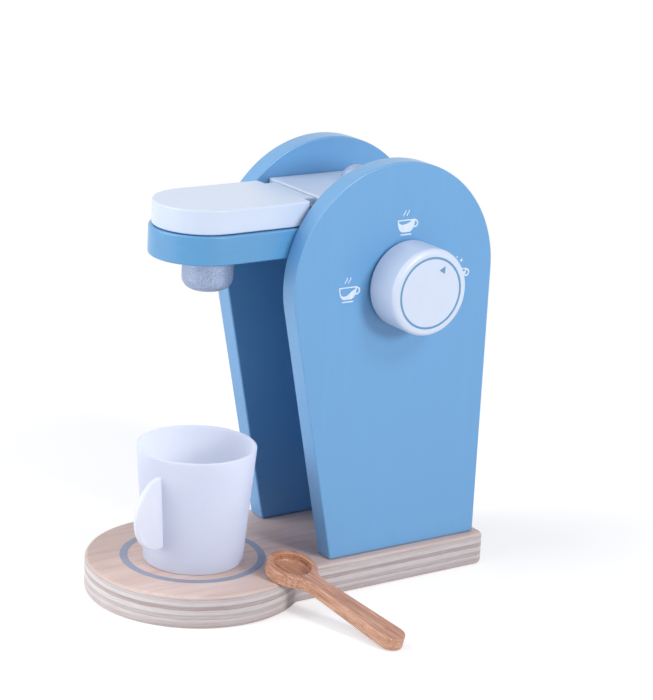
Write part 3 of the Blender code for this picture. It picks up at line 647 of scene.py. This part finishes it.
def plywood():
    """Pinkish face veneer with lengthwise grain, and plies of two tones on the edge."""
    material, tree, shader = new_finish("plywood")
    height = split(tree, here(tree))["Z"]
    normal = split(tree, facing(tree))
    waves = streaks(tree, (14, 14, 30), 3.0)
    fibre = streaks(tree, (110, 110, 2600), 4.0, 0.65)
    level = calc(tree, "DIVIDE", height, base_high.z)
    level = calc(tree, "ADD", level, spread(tree, waves, 0.2, 0.8, -0.012, 0.012))
    level = calc(tree, "ADD", level, spread(tree, fibre, 0.2, 0.8, -0.01, 0.01))
    skin, pale, white = (0.6, 0.49, 0.46), (0.66, 0.6, 0.595), (0.74, 0.72, 0.73)
    brown, middle, glue = (0.49, 0.385, 0.38), (0.58, 0.51, 0.51), (0.41, 0.32, 0.31)
    bands = colours(tree, level, (0.0, middle), (0.2, middle), (0.21, pale), (0.295, white),
                    (0.305, glue), (0.32, middle), (0.425, middle), (0.445, white),
                    (0.575, white), (0.585, glue), (0.6, brown), (0.705, brown), (0.715, white),
                    (0.8, white), (0.83, pale), (0.9, pale), (0.915, glue), (0.93, skin),
                    (1.0, skin))
    patches = streaks(tree, (22, 22, 900), 3.0, 0.6)
    bands = blend(tree, spread(tree, patches, 0.4, 0.66, 0.0, 0.5), bands, (0.74, 0.69, 0.69))
    bands = blend(tree, spread(tree, patches, 0.46, 0.3, 0.0, 0.4), bands, (0.46, 0.37, 0.36))
    edge = blend(tree, spread(tree, fibre, 0.4, 0.75, 0.0, 0.5), bands, (0.62, 0.53, 0.5),
                 "MULTIPLY")
    sideways = spread(tree, calc(tree, "ABSOLUTE", normal["X"]), 0.5, 1.0, 0.0, 0.42)
    edge = blend(tree, sideways, edge, (0.62, 0.58, 0.6), "MULTIPLY")
    grain = streaks(tree, (520, 16, 520), 5.0, 0.62, 0.3)
    figure = streaks(tree, (38, 5, 38), 4.0, 0.6, 1.5)
    flecks = streaks(tree, (1500, 110, 1500), 2.0, 0.5)
    veneer = colours(tree, weighted(tree, grain, 0.45, figure), (0.33, (0.52, 0.365, 0.32)),
                     (0.46, (0.63, 0.475, 0.425)), (0.56, (0.69, 0.535, 0.485)),
                     (0.68, (0.74, 0.595, 0.55)))
    veneer = blend(tree, spread(tree, flecks, 0.62, 0.8, 0.0, 0.35), veneer, (0.36, 0.24, 0.2))
    flat = spread(tree, calc(tree, "ABSOLUTE", normal["Z"]), 0.55, 0.9)
    lift = add(tree, "ShaderNodeMix", {0: flat, 2: fibre, 3: grain}).outputs[0]
    dress(tree, shader, blend(tree, flat, edge, veneer), spread(tree, grain, 0.3, 0.7, 0.45, 0.6),
          bump(tree, lift, 0.00012))
    return material


def oiled_wood():
    """Reddish-brown wood: grain along the scoop's handle, and turning marks in its hollow that grow
    darker towards the hollow's wall as painted shade.
    """
    material, tree, shader = new_finish("oiled_red_wood")
    own = {"place": SCOOP_PLACE, "turn": (0, SCOOP_TILT, SCOOP_HEADING)}
    grain = streaks(tree, (45, 1100, 1100), 4.0, 0.6, 0.4, **own)
    figure = streaks(tree, (14, 210, 210), 4.0, 0.6, 1.2, **own)
    pores = streaks(tree, (170, 2300, 2300), 2.0, 0.5, **own)
    base = colours(tree, weighted(tree, grain, 0.75, figure), (0.33, (0.31, 0.125, 0.064)),
                   (0.45, (0.49, 0.23, 0.133)), (0.55, (0.6, 0.32, 0.202)),
                   (0.68, (0.71, 0.43, 0.31)))
    base = blend(tree, spread(tree, pores, 0.57, 0.68, 0.0, 0.6), base, (0.2, 0.07, 0.035))
    local = split(tree, here(tree, **own))
    flat = add(tree, "ShaderNodeCombineXYZ", {0: local["X"], 1: local["Y"]})
    radius = length_of(tree, flat.outputs[0])
    turning = add(tree, "ShaderNodeCombineXYZ", {0: radius, 1: local["Z"]})
    marks = noise(tree, turning.outputs[0], 2100.0, 2.0, 0.6)
    inside = spread(tree, radius, HOLLOW_RADIUS - 0.0001, HOLLOW_RADIUS + 0.0002, 1.0, 0.0)
    below_top = spread(tree, local["Z"], SCOOP_THICKNESS - 0.0009, SCOOP_THICKNESS - 0.0004,
                       1.0, 0.0)
    # Painted shade: the turning marks darken more towards the hollow's wall.
    wall = spread(tree, radius, HOLLOW_RADIUS - 0.0028, HOLLOW_RADIUS - 0.0006, 0.35, 1.0)
    turning_rings_and_shade = spread(tree, marks, 0.38, 0.66, 0.0, 0.75)
    for limit in (inside, below_top, wall):
        turning_rings_and_shade = calc(tree, "MULTIPLY", turning_rings_and_shade, limit)
    dress(tree, shader, blend(tree, turning_rings_and_shade, base, (0.25, 0.095, 0.05)),
          spread(tree, grain, 0.3, 0.7, 0.42, 0.55),
          bump(tree, pores, 0.00005, bump(tree, grain, 0.00012)),
          coat_weight=0.5, coat_roughness=0.15)
    return material


def silver_paint():
    """Silver paint with coarse flakes, on the turned spout and dome."""
    material, tree, shader = new_finish("silver_paint")
    flakes = noise(tree, here(tree), 1500.0, 2.0, 0.7)
    clouds = noise(tree, here(tree), 70.0, 3.0)
    base = blend(tree, spread(tree, flakes, 0.35, 0.68), (0.22, 0.295, 0.45), (0.495, 0.59, 0.77))
    base = blend(tree, spread(tree, clouds, 0.3, 0.7, 0.0, 0.3), base, (0.325, 0.385, 0.54))
    dress(tree, shader, base, spread(tree, flakes, 0.3, 0.7, 0.38, 0.55),
          bump(tree, flakes, 0.00008), metallic=0.35)
    return material


def milky_plastic():
    """Milky moulded plastic whose thin wall lets more light through than the handle does, painted
    lighter inside the cup as painted light.
    """
    material, tree, shader = new_finish("milky_plastic")
    clouds = noise(tree, here(tree), 45.0, 3.0)
    skin = noise(tree, here(tree), 1100.0, 2.0)
    out = add(tree, "ShaderNodeVectorMath",
              {0: here(tree, (*CUP_PLACE, 0)), 1: (1.0, 1.0, 0.0)}, operation="MULTIPLY").outputs[0]
    outward = add(tree, "ShaderNodeVectorMath", {0: out, 1: facing(tree)},
                  operation="DOT_PRODUCT").outputs["Value"]
    outer = blend(tree, spread(tree, clouds), (0.81, 0.84, 0.93), (0.84, 0.865, 0.945))
    # Painted light: faces that turn inwards take the lighter colour.
    milk_with_painted_inner_light = blend(tree, spread(tree, outward, -0.001, 0.001), (0.87, 0.895, 0.965), outer)
    dress(tree, shader, milk_with_painted_inner_light, spread(tree, skin, 0.3, 0.7, 0.3, 0.42), bump(tree, skin, 0.00001))
    rise = split(tree, here(tree, (0, 0, base_high.z + FIT)))["Z"]
    slope = (CUP_RIM_RADIUS - CUP_BASE_RADIUS) / CUP_HEIGHT
    past_wall = calc(tree, "SUBTRACT", length_of(tree, out), calc(tree, "MULTIPLY", rise, slope))
    passes = spread(tree, past_wall, CUP_BASE_RADIUS + 0.0002, CUP_BASE_RADIUS + 0.0008,
                    WALL_PASSES, HANDLE_PASSES)
    passing = add(tree, "ShaderNodeBsdfTranslucent", {"Color": milk_with_painted_inner_light})
    mix_to(tree, "Material Output", passes, shader, passing)
    return material


def beech():
    """Bare beech for the hidden dowels, axle and retaining disc."""
    material, tree, shader = new_finish("bare_beech")
    grain = streaks(tree, (60, 420, 420), 4.0, 0.6)
    flecks = streaks(tree, (700, 2200, 2200), 2.0)
    base = blend(tree, spread(tree, grain), (0.6, 0.4, 0.24), (0.76, 0.57, 0.38))
    base = blend(tree, spread(tree, flecks, 0.6, 0.78, 0.0, 0.5), base, (0.42, 0.24, 0.13))
    dress(tree, shader, base, spread(tree, grain, 0.3, 0.7, 0.5, 0.65), bump(tree, grain, 0.0001))
    return material


def drawn_steel(name, dark, light):
    """Steel with faint drawn lines."""
    material, tree, shader = new_finish(name)
    drawn = streaks(tree, (300, 3000, 300), 3.0)
    base = blend(tree, spread(tree, drawn), dark, light)
    dress(tree, shader, base, spread(tree, drawn, 0.3, 0.7, 0.22, 0.38),
          bump(tree, drawn, 0.00001), metallic=1.0)
    return material


def nylon():
    """Matt white nylon for the washer under the knob."""
    material, tree, shader = new_finish("white_nylon")
    skin = noise(tree, here(tree), 900.0, 2.0)
    dress(tree, shader, blend(tree, skin, (0.72, 0.72, 0.7), (0.82, 0.82, 0.8)),
          spread(tree, skin, 0.3, 0.7, 0.45, 0.6))
    return material


def print_ink(name, colour, lengthwise):
    """Thin printed ink, slightly uneven where the grain shows through."""
    material, tree, shader = new_finish(name)
    grain = streaks(tree, along_axis(lengthwise, 420.0, 14.0), 4.0, 0.6)
    dress(tree, shader, blend(tree, spread(tree, grain), *shades(colour, 0.08)),
          spread(tree, grain, 0.3, 0.7, 0.42, 0.55))
    return material


# Pieces of the machine

def make_base():
    item = new_item("plywood_base", slab(base_outline(), flat_xy, 0, base_high.z))
    round_edges(item, BASE_EDGE, 6)
    sunk, shank = SCREW_HEAD + FIT, SCREW_RADIUS + FIT
    above = base_high.z + FIT
    profile = [(0, -FIT), (sunk, -FIT), (sunk, 0), (shank, SCREW_HEAD_HEIGHT), (shank, above),
               (0, above)]
    places = [Matrix.Translation((*middle_of(node).to_2d(), 0)) for node in SCREWS]
    combine(item, turned_cutter(profile, 48, *places))
    combine(item, pin_holes("panel_dowel_1", "panel_dowel_2"))
    shade(item)
    fit(item, PLYWOOD, "machine", "plywood", "base_board")


def make_panels():
    for side, name, node in ((1, "knob_side_panel", "right_panel"),
                             (-1, "far_side_panel", "left_panel")):
        low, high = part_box(node)
        item = new_item(name, slab(panel_outline(), flat_yz, low.x, high.x))
        round_edges(item, PANEL_EDGE)
        pins = [pin for pin in DOWELS
                if max(corner.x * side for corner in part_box(pin)) > panel_low.x]
        combine(item, pin_holes(*pins, "lid_hinge_rod"))
        holes = bmesh.new()
        add_screw_holes(holes, lambda centre: centre.x * side > panel_low.x)
        combine(item, holes)
        if side > 0:
            combine(item, pin_holes("knob_axle"))
        shade(item)
        fit(item, BLUE_PANEL, "machine", "blue_paint", node)


def make_back_board():
    outline = box_outline(back_low.x, back_high.x, back_low.y, back_high.y)
    item = new_item("closing_board", slab(outline, flat_xy, back_low.z, back_high.z))
    round_edges(item, BOARD_EDGE)
    holes = pin_holes("back_dowel_1", "back_dowel_2")
    add_screw_holes(holes, lambda centre: centre.y > back_low.y)
    combine(item, holes)
    shade(item)
    fit(item, BLUE_PANEL, "machine", "blue_paint", "back_board")


def make_head():
    half, rear = head_high.x, head_high.y
    outline = round_front(half, head_low.y) + [(half, rear), (-half, rear)]
    item = new_item("round_fronted_head", slab(outline, flat_xy, head_low.z, head_high.z))
    round_edges(item, BOARD_EDGE)
    pins = [pin for pin in DOWELS if not pin.startswith("panel")]
    combine(item, pin_holes(*pins))
    floor = head_high.z - PAD_DEPTH
    foot = (PAD_RADIUS - PAD_FLOOR_ROUND, floor + PAD_FLOOR_ROUND)
    rim = PAD_RADIUS + PAD_RIM
    profile = [(0, floor)] + arc(foot, PAD_FLOOR_ROUND, -QUARTER, 0, 6)
    profile += arc((rim, head_high.z - PAD_RIM), PAD_RIM, math.pi, QUARTER, 6)
    profile += [(rim, head_high.z + FIT), (0, head_high.z + FIT)]
    place = Matrix.Translation((0, (lid_low.y + HINGE_Y) / 2, 0))
    combine(item, turned_cutter(profile, 96, place))
    shade(item)
    fit(item, BLUE_HEAD, "machine", "blue_paint", "brew_head")


def lid_plan():
    """Lid from above: a round front, full width up to its shoulders, then the hinge tongue."""
    half = lid_high.x
    corner = arc((half - LID_CORNER, LID_SHOULDER - LID_CORNER), LID_CORNER, 0, QUARTER, 12)
    right = corner + [(LID_TONGUE, LID_SHOULDER), (LID_TONGUE, lid_high.y + CUT_OVERRUN)]
    return round_front(half, lid_low.y) + right + [(-x, y) for x, y in reversed(right)]


def make_lid():
    swing = lid_high.y - HINGE_Y
    past = lid_low.y - CUT_OVERRUN
    rear = arc((lid_high.y - swing, lid_low.z + swing), swing, -QUARTER, 0, 20)
    side_view = [(past, lid_low.z)] + rear + [(lid_high.y, lid_high.z), (past, lid_high.z)]
    wide = lid_high.x + CUT_OVERRUN
    item = new_item("hinged_lid", slab(side_view, flat_yz, -wide, wide))
    plan = slab(lid_plan(), flat_xy, lid_low.z - CUT_OVERRUN, lid_high.z + CUT_OVERRUN)
    combine(item, plan, "INTERSECT")
    round_edges(item, LID_EDGE)
    combine(item, pin_holes("lid_hinge_rod"))
    shade(item)
    fit(item, WHITE_LID, "lid", "white_paint", "lid")


def make_rear_block():
    outline = box_outline(block_low.x, block_high.x, block_low.y, block_high.y)
    item = new_item("block_behind_lid", slab(outline, flat_xy, block_low.z, block_high.z))
    round_edges(item, LID_EDGE)
    holes = pin_holes("block_dowel_1", "block_dowel_2")
    add_round_hole(holes, (0, ARCH_Y), STEM_RADIUS + FIT, block_high.z - STEM_LENGTH,
                   block_high.z + FIT)
    combine(item, holes)
    shade(item)
    fit(item, WHITE_LID, "machine", "white_paint", "rear_block")


def make_dome():
    low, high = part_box("top_dome")
    radius = (high.x - low.x) / 2
    foot = high.z - radius
    profile = [(0, low.z), (STEM_RADIUS - PIN_CHAMFER, low.z), (STEM_RADIUS, low.z + PIN_CHAMFER),
               (STEM_RADIUS, foot)]
    profile += arc((0, foot), radius, 0, QUARTER, 28)
    item = turned("dome_on_block", profile, SILVER, Matrix.Translation((0, ARCH_Y, 0)))
    shade(item)
    fit(item, SILVER, "machine", "silver_paint", "top_dome")


def make_spout():
    radius = spout_high.x
    length = spout_high.z - spout_low.z
    rounding = arc((radius - SPOUT_ROUND, length - SPOUT_ROUND), SPOUT_ROUND, 0, QUARTER, 20)
    rim = arc((radius - SPOUT_RIM, SPOUT_RIM), SPOUT_RIM, -QUARTER, 0, 4)
    profile = [(0, 0)] + rim + rounding + [(0, length)]
    centre_y = (spout_low.y + spout_high.y) / 2
    place = carried_to((0, centre_y, spout_high.z), (0, centre_y, spout_low.z))
    item = turned("silver_spout", profile, SILVER, place)
    combine(item, pin_holes("spout_dowel"))
    shade(item)
    fit(item, SILVER, "machine", "silver_paint", "spout")


def make_knob():
    radius = (knob_high.z - knob_low.z) / 2
    length = knob_high.x - knob_low.x
    base_round = arc((radius - KNOB_BASE_ROUND, KNOB_BASE_ROUND), KNOB_BASE_ROUND,
                     -QUARTER, 0, 6)
    face_round = arc((radius - KNOB_FACE_ROUND, length - KNOB_FACE_ROUND), KNOB_FACE_ROUND,
                     0, QUARTER, 14)
    place = carried_to((knob_low.x, KNOB_Y, KNOB_Z), (knob_high.x, KNOB_Y, KNOB_Z))
    item = turned("white_knob", [(0, 0)] + base_round + face_round + [(0, length)], WHITE_KNOB,
                  place, 144)
    combine(item, pin_holes("knob_axle"))
    shade(item)
    fit(item, WHITE_KNOB, "knob", "white_paint", "knob")


def make_dowels():
    """All wooden dowels of the machine, with the flutes that let glue out."""
    bm = bmesh.new()
    width = bm.verts.layers.float.new("width")
    for node in DOWELS:
        low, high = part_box(node)
        size = high - low
        axis = longest(size)
        step = Vector([size[axis] if i == axis else 0.0 for i in range(3)])
        start = (low + high) / 2 - step / 2
        narrow = PIN_CHAMFER / size[axis]
        points = []
        for part, thick in ((0, CHAMFERED), (narrow, 1), (1 - narrow, 1), (1, CHAMFERED)):
            points.append(bm.verts.new(start + step * part))
            points[-1][width] = thick
        for pair in zip(points, points[1:]):
            bm.edges.new(pair)
    item = new_item("fluted_dowels", bm)
    low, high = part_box(DOWELS[0])
    run_tree(item, DOWEL_TREE, radius=min(high - low) / 2, flutes=FLUTES, flute_depth=FLUTE_DEPTH,
             finish=BEECH)
    item.data.shade_flat()
    fit(item, BEECH, "machine", "beech", *DOWELS)


def make_screws():
    """Countersunk screws with a cross in their heads."""
    low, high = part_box(SCREWS[0])
    length = high.z - low.z
    profile = [(0, 0), (SCREW_HEAD, 0), (SCREW_HEAD, SCREW_RIM), (SCREW_RADIUS, SCREW_HEAD_HEIGHT),
               (SCREW_RADIUS, length - SCREW_TIP), (0, length)]
    screw = turned("one_screw", profile, STEEL, Matrix.Identity(4), 48)
    for angle in (0, QUARTER):
        wing = box_outline(-SLOT_REACH, SLOT_REACH, -SLOT_HALF_WIDTH, SLOT_HALF_WIDTH)
        cutter = slab(wing, flat_xy, -FIT, SLOT_DEPTH)
        cutter.transform(Matrix.Rotation(angle, 4, "Z"))
        combine(screw, cutter)
    shade(screw)
    bm = bmesh.new()
    for node in SCREWS:
        bm.verts.new((*middle_of(node).to_2d(), low.z))
    item = new_item("base_screws", bm)
    run_tree(item, SCREW_TREE, screw=screw, finish=STEEL)
    bpy.data.objects.remove(screw, do_unlink=True)
    fit(item, STEEL, "machine", "steel", *SCREWS)


def repaint_hidden_nodes():
    """Better materials on the solids that stay as they are."""
    for node, finish in (("lid_hinge_rod", SHADED_ROD_STEEL), ("knob_axle", BEECH),
                         ("knob_retainer", BEECH), ("knob_washer", NYLON)):
        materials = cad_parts[node].data.materials
        materials.clear()
        materials.append(finish)


# Cup and scoop

def cup_radius(height):
    return CUP_BASE_RADIUS + (CUP_RIM_RADIUS - CUP_BASE_RADIUS) * height / CUP_HEIGHT


def make_cup():
    lip = CUP_WALL / 2
    foot = CUP_BASE_RADIUS - CUP_HEEL
    heel = arc((cup_radius(CUP_HEEL) - CUP_HEEL, CUP_HEEL), CUP_HEEL, -QUARTER, 0, 14)
    rim = arc((cup_radius(CUP_HEIGHT) - lip, CUP_HEIGHT - lip), lip, 0, math.pi, 10)
    low = CUP_FLOOR + CUP_FLOOR_ROUND
    inner = cup_radius(low) - CUP_WALL
    floor = arc((inner - CUP_FLOOR_ROUND, low), CUP_FLOOR_ROUND, 0, -QUARTER, 10)
    ring = foot - CUP_FOOT_WIDTH
    profile = [(0, CUP_FOOT_RISE), (ring - CUP_FOOT_RISE, CUP_FOOT_RISE), (ring, 0)]
    profile += heel + rim + floor
    item = turned("milky_cup", profile + [(0, CUP_FLOOR)], MILKY, Matrix.Identity(4), 128)
    lean = math.atan2(CUP_RIM_RADIUS - CUP_BASE_RADIUS, CUP_HEIGHT)
    up = QUARTER - lean
    fin = arc((cup_radius(HANDLE_RISE), HANDLE_RISE), HANDLE_RADIUS, up - math.pi, up, 64)
    fin += [(a - lip * math.cos(lean), b + lip * math.sin(lean)) for a, b in (fin[-1], fin[0])]
    half = HANDLE_THICKNESS / 2
    bm = slab(fin, lambda a, b, height: (a, height, b), -half, half)
    rim_edges = [edge for edge in bm.edges if edge.verts[0].co.y == edge.verts[1].co.y
                 and edge.calc_length() < HANDLE_RADIUS]
    bmesh.ops.bevel(bm, geom=rim_edges, offset=HANDLE_EDGE, segments=5, profile=0.5,
                    affect="EDGES")
    combine(item, bm, "UNION")
    item.data.transform(CUP_MATRIX)
    shade(item)
    fit(item, MILKY, "cup", "milky_plastic", "cup")


def make_scoop():
    item = new_item("wooden_scoop", slab(scoop_outline(), flat_xy, 0, SCOOP_THICKNESS))
    round_edges(item, SCOOP_EDGE, 6)
    floor = SCOOP_THICKNESS - HOLLOW_DEPTH
    foot = arc((HOLLOW_RADIUS - HOLLOW_ROUND, floor + HOLLOW_ROUND), HOLLOW_ROUND,
               -QUARTER, 0, 16)
    lip = HOLLOW_RADIUS + HOLLOW_LIP
    rim = arc((lip, SCOOP_THICKNESS - HOLLOW_LIP), HOLLOW_LIP, math.pi, QUARTER, 6)
    above = SCOOP_THICKNESS + CUT_OVERRUN
    profile = [(0, floor)] + foot + rim + [(lip, above), (0, above)]
    combine(item, turned_cutter(profile, 96, Matrix.Identity(4)))
    item.data.transform(SCOOP_MATRIX)
    shade(item)
    fit(item, OILED, "scoop", "red_wood", "scoop")


# Printed marks

def stroke(points, width, steps=8):
    """Outline of a line of even width with round ends."""
    radius = width / 2
    points = [Vector(point) for point in points]
    last = len(points) - 1
    sides = ([], [])
    for i, point in enumerate(points):
        way = (points[min(i + 1, last)] - points[max(i - 1, 0)]).normalized()
        across = Vector((-way.y, way.x)) * radius
        sides[0].append(point + across)
        sides[1].append(point - across)
    first_way = points[1] - points[0]
    last_way = points[-1] - points[-2]
    start = math.atan2(first_way.y, first_way.x)
    end = math.atan2(last_way.y, last_way.x)
    tip = arc(points[-1], radius, end + QUARTER, end - QUARTER, steps)[1:-1]
    tail = arc(points[0], radius, start - QUARTER, start - 3 * QUARTER, steps)[1:-1]
    return [tuple(p) for p in sides[0]] + tip + [tuple(p) for p in reversed(sides[1])] + tail


def curve_through(start, bend_1, bend_2, end, steps=12):
    """Points of a smooth curve with two bends."""
    points = []
    for i in range(steps + 1):
        t = i / steps
        parts = ((1 - t) ** 3, 3 * (1 - t) ** 2 * t, 3 * (1 - t) * t ** 2, t ** 3)
        points.append(tuple(sum(part * p[k] for part, p in zip(parts, (start, bend_1, bend_2, end)))
                            for k in range(2)))
    return points


def cup_symbol(surface, sparkles):
    """A simple cup over a bar, in millimetres, as (outline, holes) shapes.

    The surface is the drink's upper edge, from the cup's left wall to its right.
    """
    right = curve_through((2.1, -3.4), (4.2, -3.1), (5.5, -0.6), (5.6, CUP_TOP))
    body = right + [(-x, y) for x, y in reversed(right)]
    right_wall, left_wall, top = CUP_HOLLOW
    hollow = surface + [(max(right_wall, surface[-1][0]), top), (left_wall, top)]
    handle = stroke(arc((5.6, 0.9), 1.75, -math.radians(115), math.radians(100), 20), 0.85)
    bar = stroke([(-3.0, -4.7), (0.0, -4.7), (3.4, -4.7)], 0.7)
    shapes = [(body, [hollow]), (handle, []), (bar, [])]
    if sparkles:
        for x, y, size in SPARKLES:
            reaches = (size, size * SPARKLE_WAIST) * 4
            star = [(x + reach * a, y + reach * b)
                    for reach, (a, b) in zip(reaches, arc((0, 0), 1, 0, math.tau, 8))]
            shapes.append((star, []))
    else:
        for x in WISPS:
            wisp = curve_through((x, 5.5), (x - 0.3, 6.5), (x + 1.6, 7.0), (x + 1.2, 8.3))
            shapes.append((stroke(wisp, 0.55), []))
    return shapes


def add_print(bm, shapes, place, base):
    """Adds flat shapes to a print on a plane that faces +X."""
    for number, (outline, holes) in enumerate(shapes):
        height = PRINT * (1 + 0.1 * number)
        edges = []
        for loop in [outline] + holes:
            points = [bm.verts.new((base - PRINT_SINK, place[0] + a * MM, place[1] + b * MM))
                      for a, b in loop]
            edges += [bm.edges.new(pair) for pair in zip(points, points[1:] + points[:1])]
        filled = bmesh.ops.triangle_fill(bm, use_beauty=True, edges=edges)["geom"]
        faces = [part for part in filled if isinstance(part, bmesh.types.BMFace)]
        grown = bmesh.ops.extrude_face_region(bm, geom=faces)["geom"]
        raised = [part for part in grown if isinstance(part, bmesh.types.BMVert)]
        bmesh.ops.translate(bm, vec=(height + PRINT_SINK, 0, 0), verts=raised)


def make_panel_prints():
    """Three cup symbols round the knob: a full cup, a low one, and one for cleaning."""
    bm = bmesh.new()
    for surface, sparkles, place in SYMBOLS:
        add_print(bm, cup_symbol(surface, sparkles), place, panel_high.x)
    fit(new_item("printed_cups", bm), WHITE_INK, "machine", "white_paint")


def make_knob_prints():
    """Blue ring and pointer on the knob's face."""
    bm = bmesh.new()
    inner, outer = (arc((0, 0), radius / MM, 0, math.tau, 144)[:-1] for radius in KNOB_RING)
    way = Vector((math.cos(POINTER_ANGLE), math.sin(POINTER_ANGLE)))
    across = Vector((-way.y, way.x)) * POINTER_HALF_WIDTH
    foot = way * POINTER_FOOT
    pointer = [tuple(way * POINTER_TIP), tuple(foot + across), tuple(foot - across)]
    add_print(bm, [(outer, [inner]), (pointer, [])], (KNOB_Y, KNOB_Z), knob_high.x)
    fit(new_item("printed_pointer", bm), BLUE_INK, "knob", "blue_paint")


def make_base_print():
    """Blue ring on the base, where the cup stands."""
    profile = box_outline(*BASE_RING, base_high.z - PRINT_SINK, base_high.z + PRINT)
    item = turned("printed_ring", profile + profile[:1], RING_INK,
                  Matrix.Translation((0, BASE_RING_Y, 0)), 180)
    shade(item)
    fit(item, RING_INK, "machine", "blue_paint")


# Camera, lights and floor

def make_camera():
    azimuth, elevation, roll = (math.radians(angle) for angle in VIEW_ANGLES)
    back = Vector((math.sin(azimuth) * math.cos(elevation),
                   -math.cos(azimuth) * math.cos(elevation), math.sin(elevation)))
    level = Vector((math.cos(azimuth), math.sin(azimuth), 0))
    rise = back.cross(level)
    right = level * math.cos(roll) + rise * math.sin(roll)
    up = rise * math.cos(roll) - level * math.sin(roll)
    data = bpy.data.cameras.new("photo_view")
    data.lens = SENSOR * FOCAL_PIXELS / PHOTO_HEIGHT
    data.clip_start, data.clip_end = 0.05, 60
    camera = bpy.data.objects.new("photo_view", data)
    bpy.context.collection.objects.link(camera)
    turn = Matrix((right, up, back)).transposed().to_4x4()
    camera.matrix_world = Matrix.Translation(VIEW_TARGET + back * VIEW_DISTANCE) @ turn
    bpy.context.scene.camera = camera


def make_lamp(name, place, size, power):
    data = bpy.data.lights.new(name, "AREA")
    data.shape = "DISK"
    data.size = size
    data.energy = power
    lamp = bpy.data.objects.new(name, data)
    turn = (Vector(place) - LAMP_AIM).to_track_quat("Z", "Y").to_matrix().to_4x4()
    lamp.matrix_world = Matrix.Translation(place) @ turn
    bpy.context.collection.objects.link(lamp)


def seen_directly(tree):
    """One for rays from the camera, from gloss and through plastic, and zero for the rest."""
    rays = add(tree, "ShaderNodeLightPath").outputs
    seen = calc(tree, "ADD", rays["Is Camera Ray"], rays["Is Glossy Ray"], True)
    return calc(tree, "ADD", seen, rays["Is Transmission Ray"], True)


def make_lights():
    for lamp in LAMPS:
        make_lamp(*lamp)
    world = bpy.data.worlds.new("studio")
    world.use_nodes = True
    tree = world.node_tree
    background = tree.nodes["Background"]
    background.inputs["Color"].default_value = (0.97, 0.97, 1.0, 1.0)
    background.inputs["Strength"].default_value = WORLD_LIGHT
    plain = add(tree, "ShaderNodeBackground", {"Color": (1, 1, 1, 1), "Strength": 1.0})
    mix_to(tree, "World Output", seen_directly(tree), background, plain)
    bpy.context.scene.world = world


def make_floor():
    """Pale floor that keeps the toy's shadow and turns white away from it."""
    bm = bmesh.new()
    bmesh.ops.create_grid(bm, x_segments=1, y_segments=1, size=10)
    item = new_item("floor", bm)
    material, tree, shader = new_finish("pale_floor")
    tree.nodes.remove(shader)
    matt = add(tree, "ShaderNodeBsdfDiffuse", {"Color": (0.7, 0.7, 0.71, 1.0)})
    glow = add(tree, "ShaderNodeEmission", {"Color": (1, 1, 1, 1), "Strength": 1.0})
    seen = seen_directly(tree)
    lift = add(tree, "ShaderNodeEmission",
               {"Color": (1, 1, 1, 1), "Strength": calc(tree, "MULTIPLY", seen, FLOOR_LIFT)})
    near = add(tree, "ShaderNodeAddShader", {0: matt.outputs[0], 1: lift.outputs[0]})
    reach = length_of(tree, here(tree, FLOOR_CENTRE))
    share = calc(tree, "MULTIPLY", seen, spread(tree, reach, GLOW_START, GLOW_FULL))
    mix_to(tree, "Material Output", share, near, glow)
    item.data.materials.append(material)


SCREWS = [f"base_screw_{number}" for number in range(1, 7)]
DOWELS = [f"{board}_dowel_{number}" for board, count in
          (("panel", 2), ("back", 2), ("head", 4), ("block", 2)) for number in range(1, count + 1)]
DOWELS.append("spout_dowel")
LATHE = lathe_tree()
DOWEL_TREE = dowel_tree()
SCREW_TREE = screw_tree()
PLYWOOD = plywood()
BLUE_PANEL = paint("blue_panel_paint", (0.123, 0.34, 0.632), 2)
BLUE_HEAD = paint("blue_head_paint", (0.084, 0.303, 0.578), 1, 0.05)
WHITE_LID = paint("white_lid_paint", (0.6, 0.69, 0.85), 1, 0.02)
WHITE_KNOB = paint("white_knob_paint", (0.6, 0.677, 0.83), 0, 0.02)
SILVER = silver_paint()
MILKY = milky_plastic()
OILED = oiled_wood()
BEECH = beech()
STEEL = drawn_steel("plated_steel", (0.56, 0.57, 0.6), (0.7, 0.71, 0.74))
# The hinge rod's steel is made dark as painted shade in the gap round it.
SHADED_ROD_STEEL = drawn_steel("oiled_rod_steel", (0.14, 0.16, 0.2), (0.24, 0.26, 0.31))
NYLON = nylon()
WHITE_INK = print_ink("white_ink", (0.68, 0.77, 0.9), 2)
BLUE_INK = print_ink("blue_ink", (0.12, 0.29, 0.49), 1)
RING_INK = print_ink("ring_ink", (0.28, 0.31, 0.41), 1)

make_camera()
make_base()
make_panels()
make_back_board()
make_head()
make_lid()
make_rear_block()
make_dome()
make_spout()
make_knob()
make_dowels()
make_screws()
repaint_hidden_nodes()
make_cup()
make_scoop()
make_panel_prints()
make_knob_prints()
make_base_print()
make_lights()
make_floor()

bpy.context.scene.view_settings.view_transform = "Standard"
bpy.context.view_layer.update()
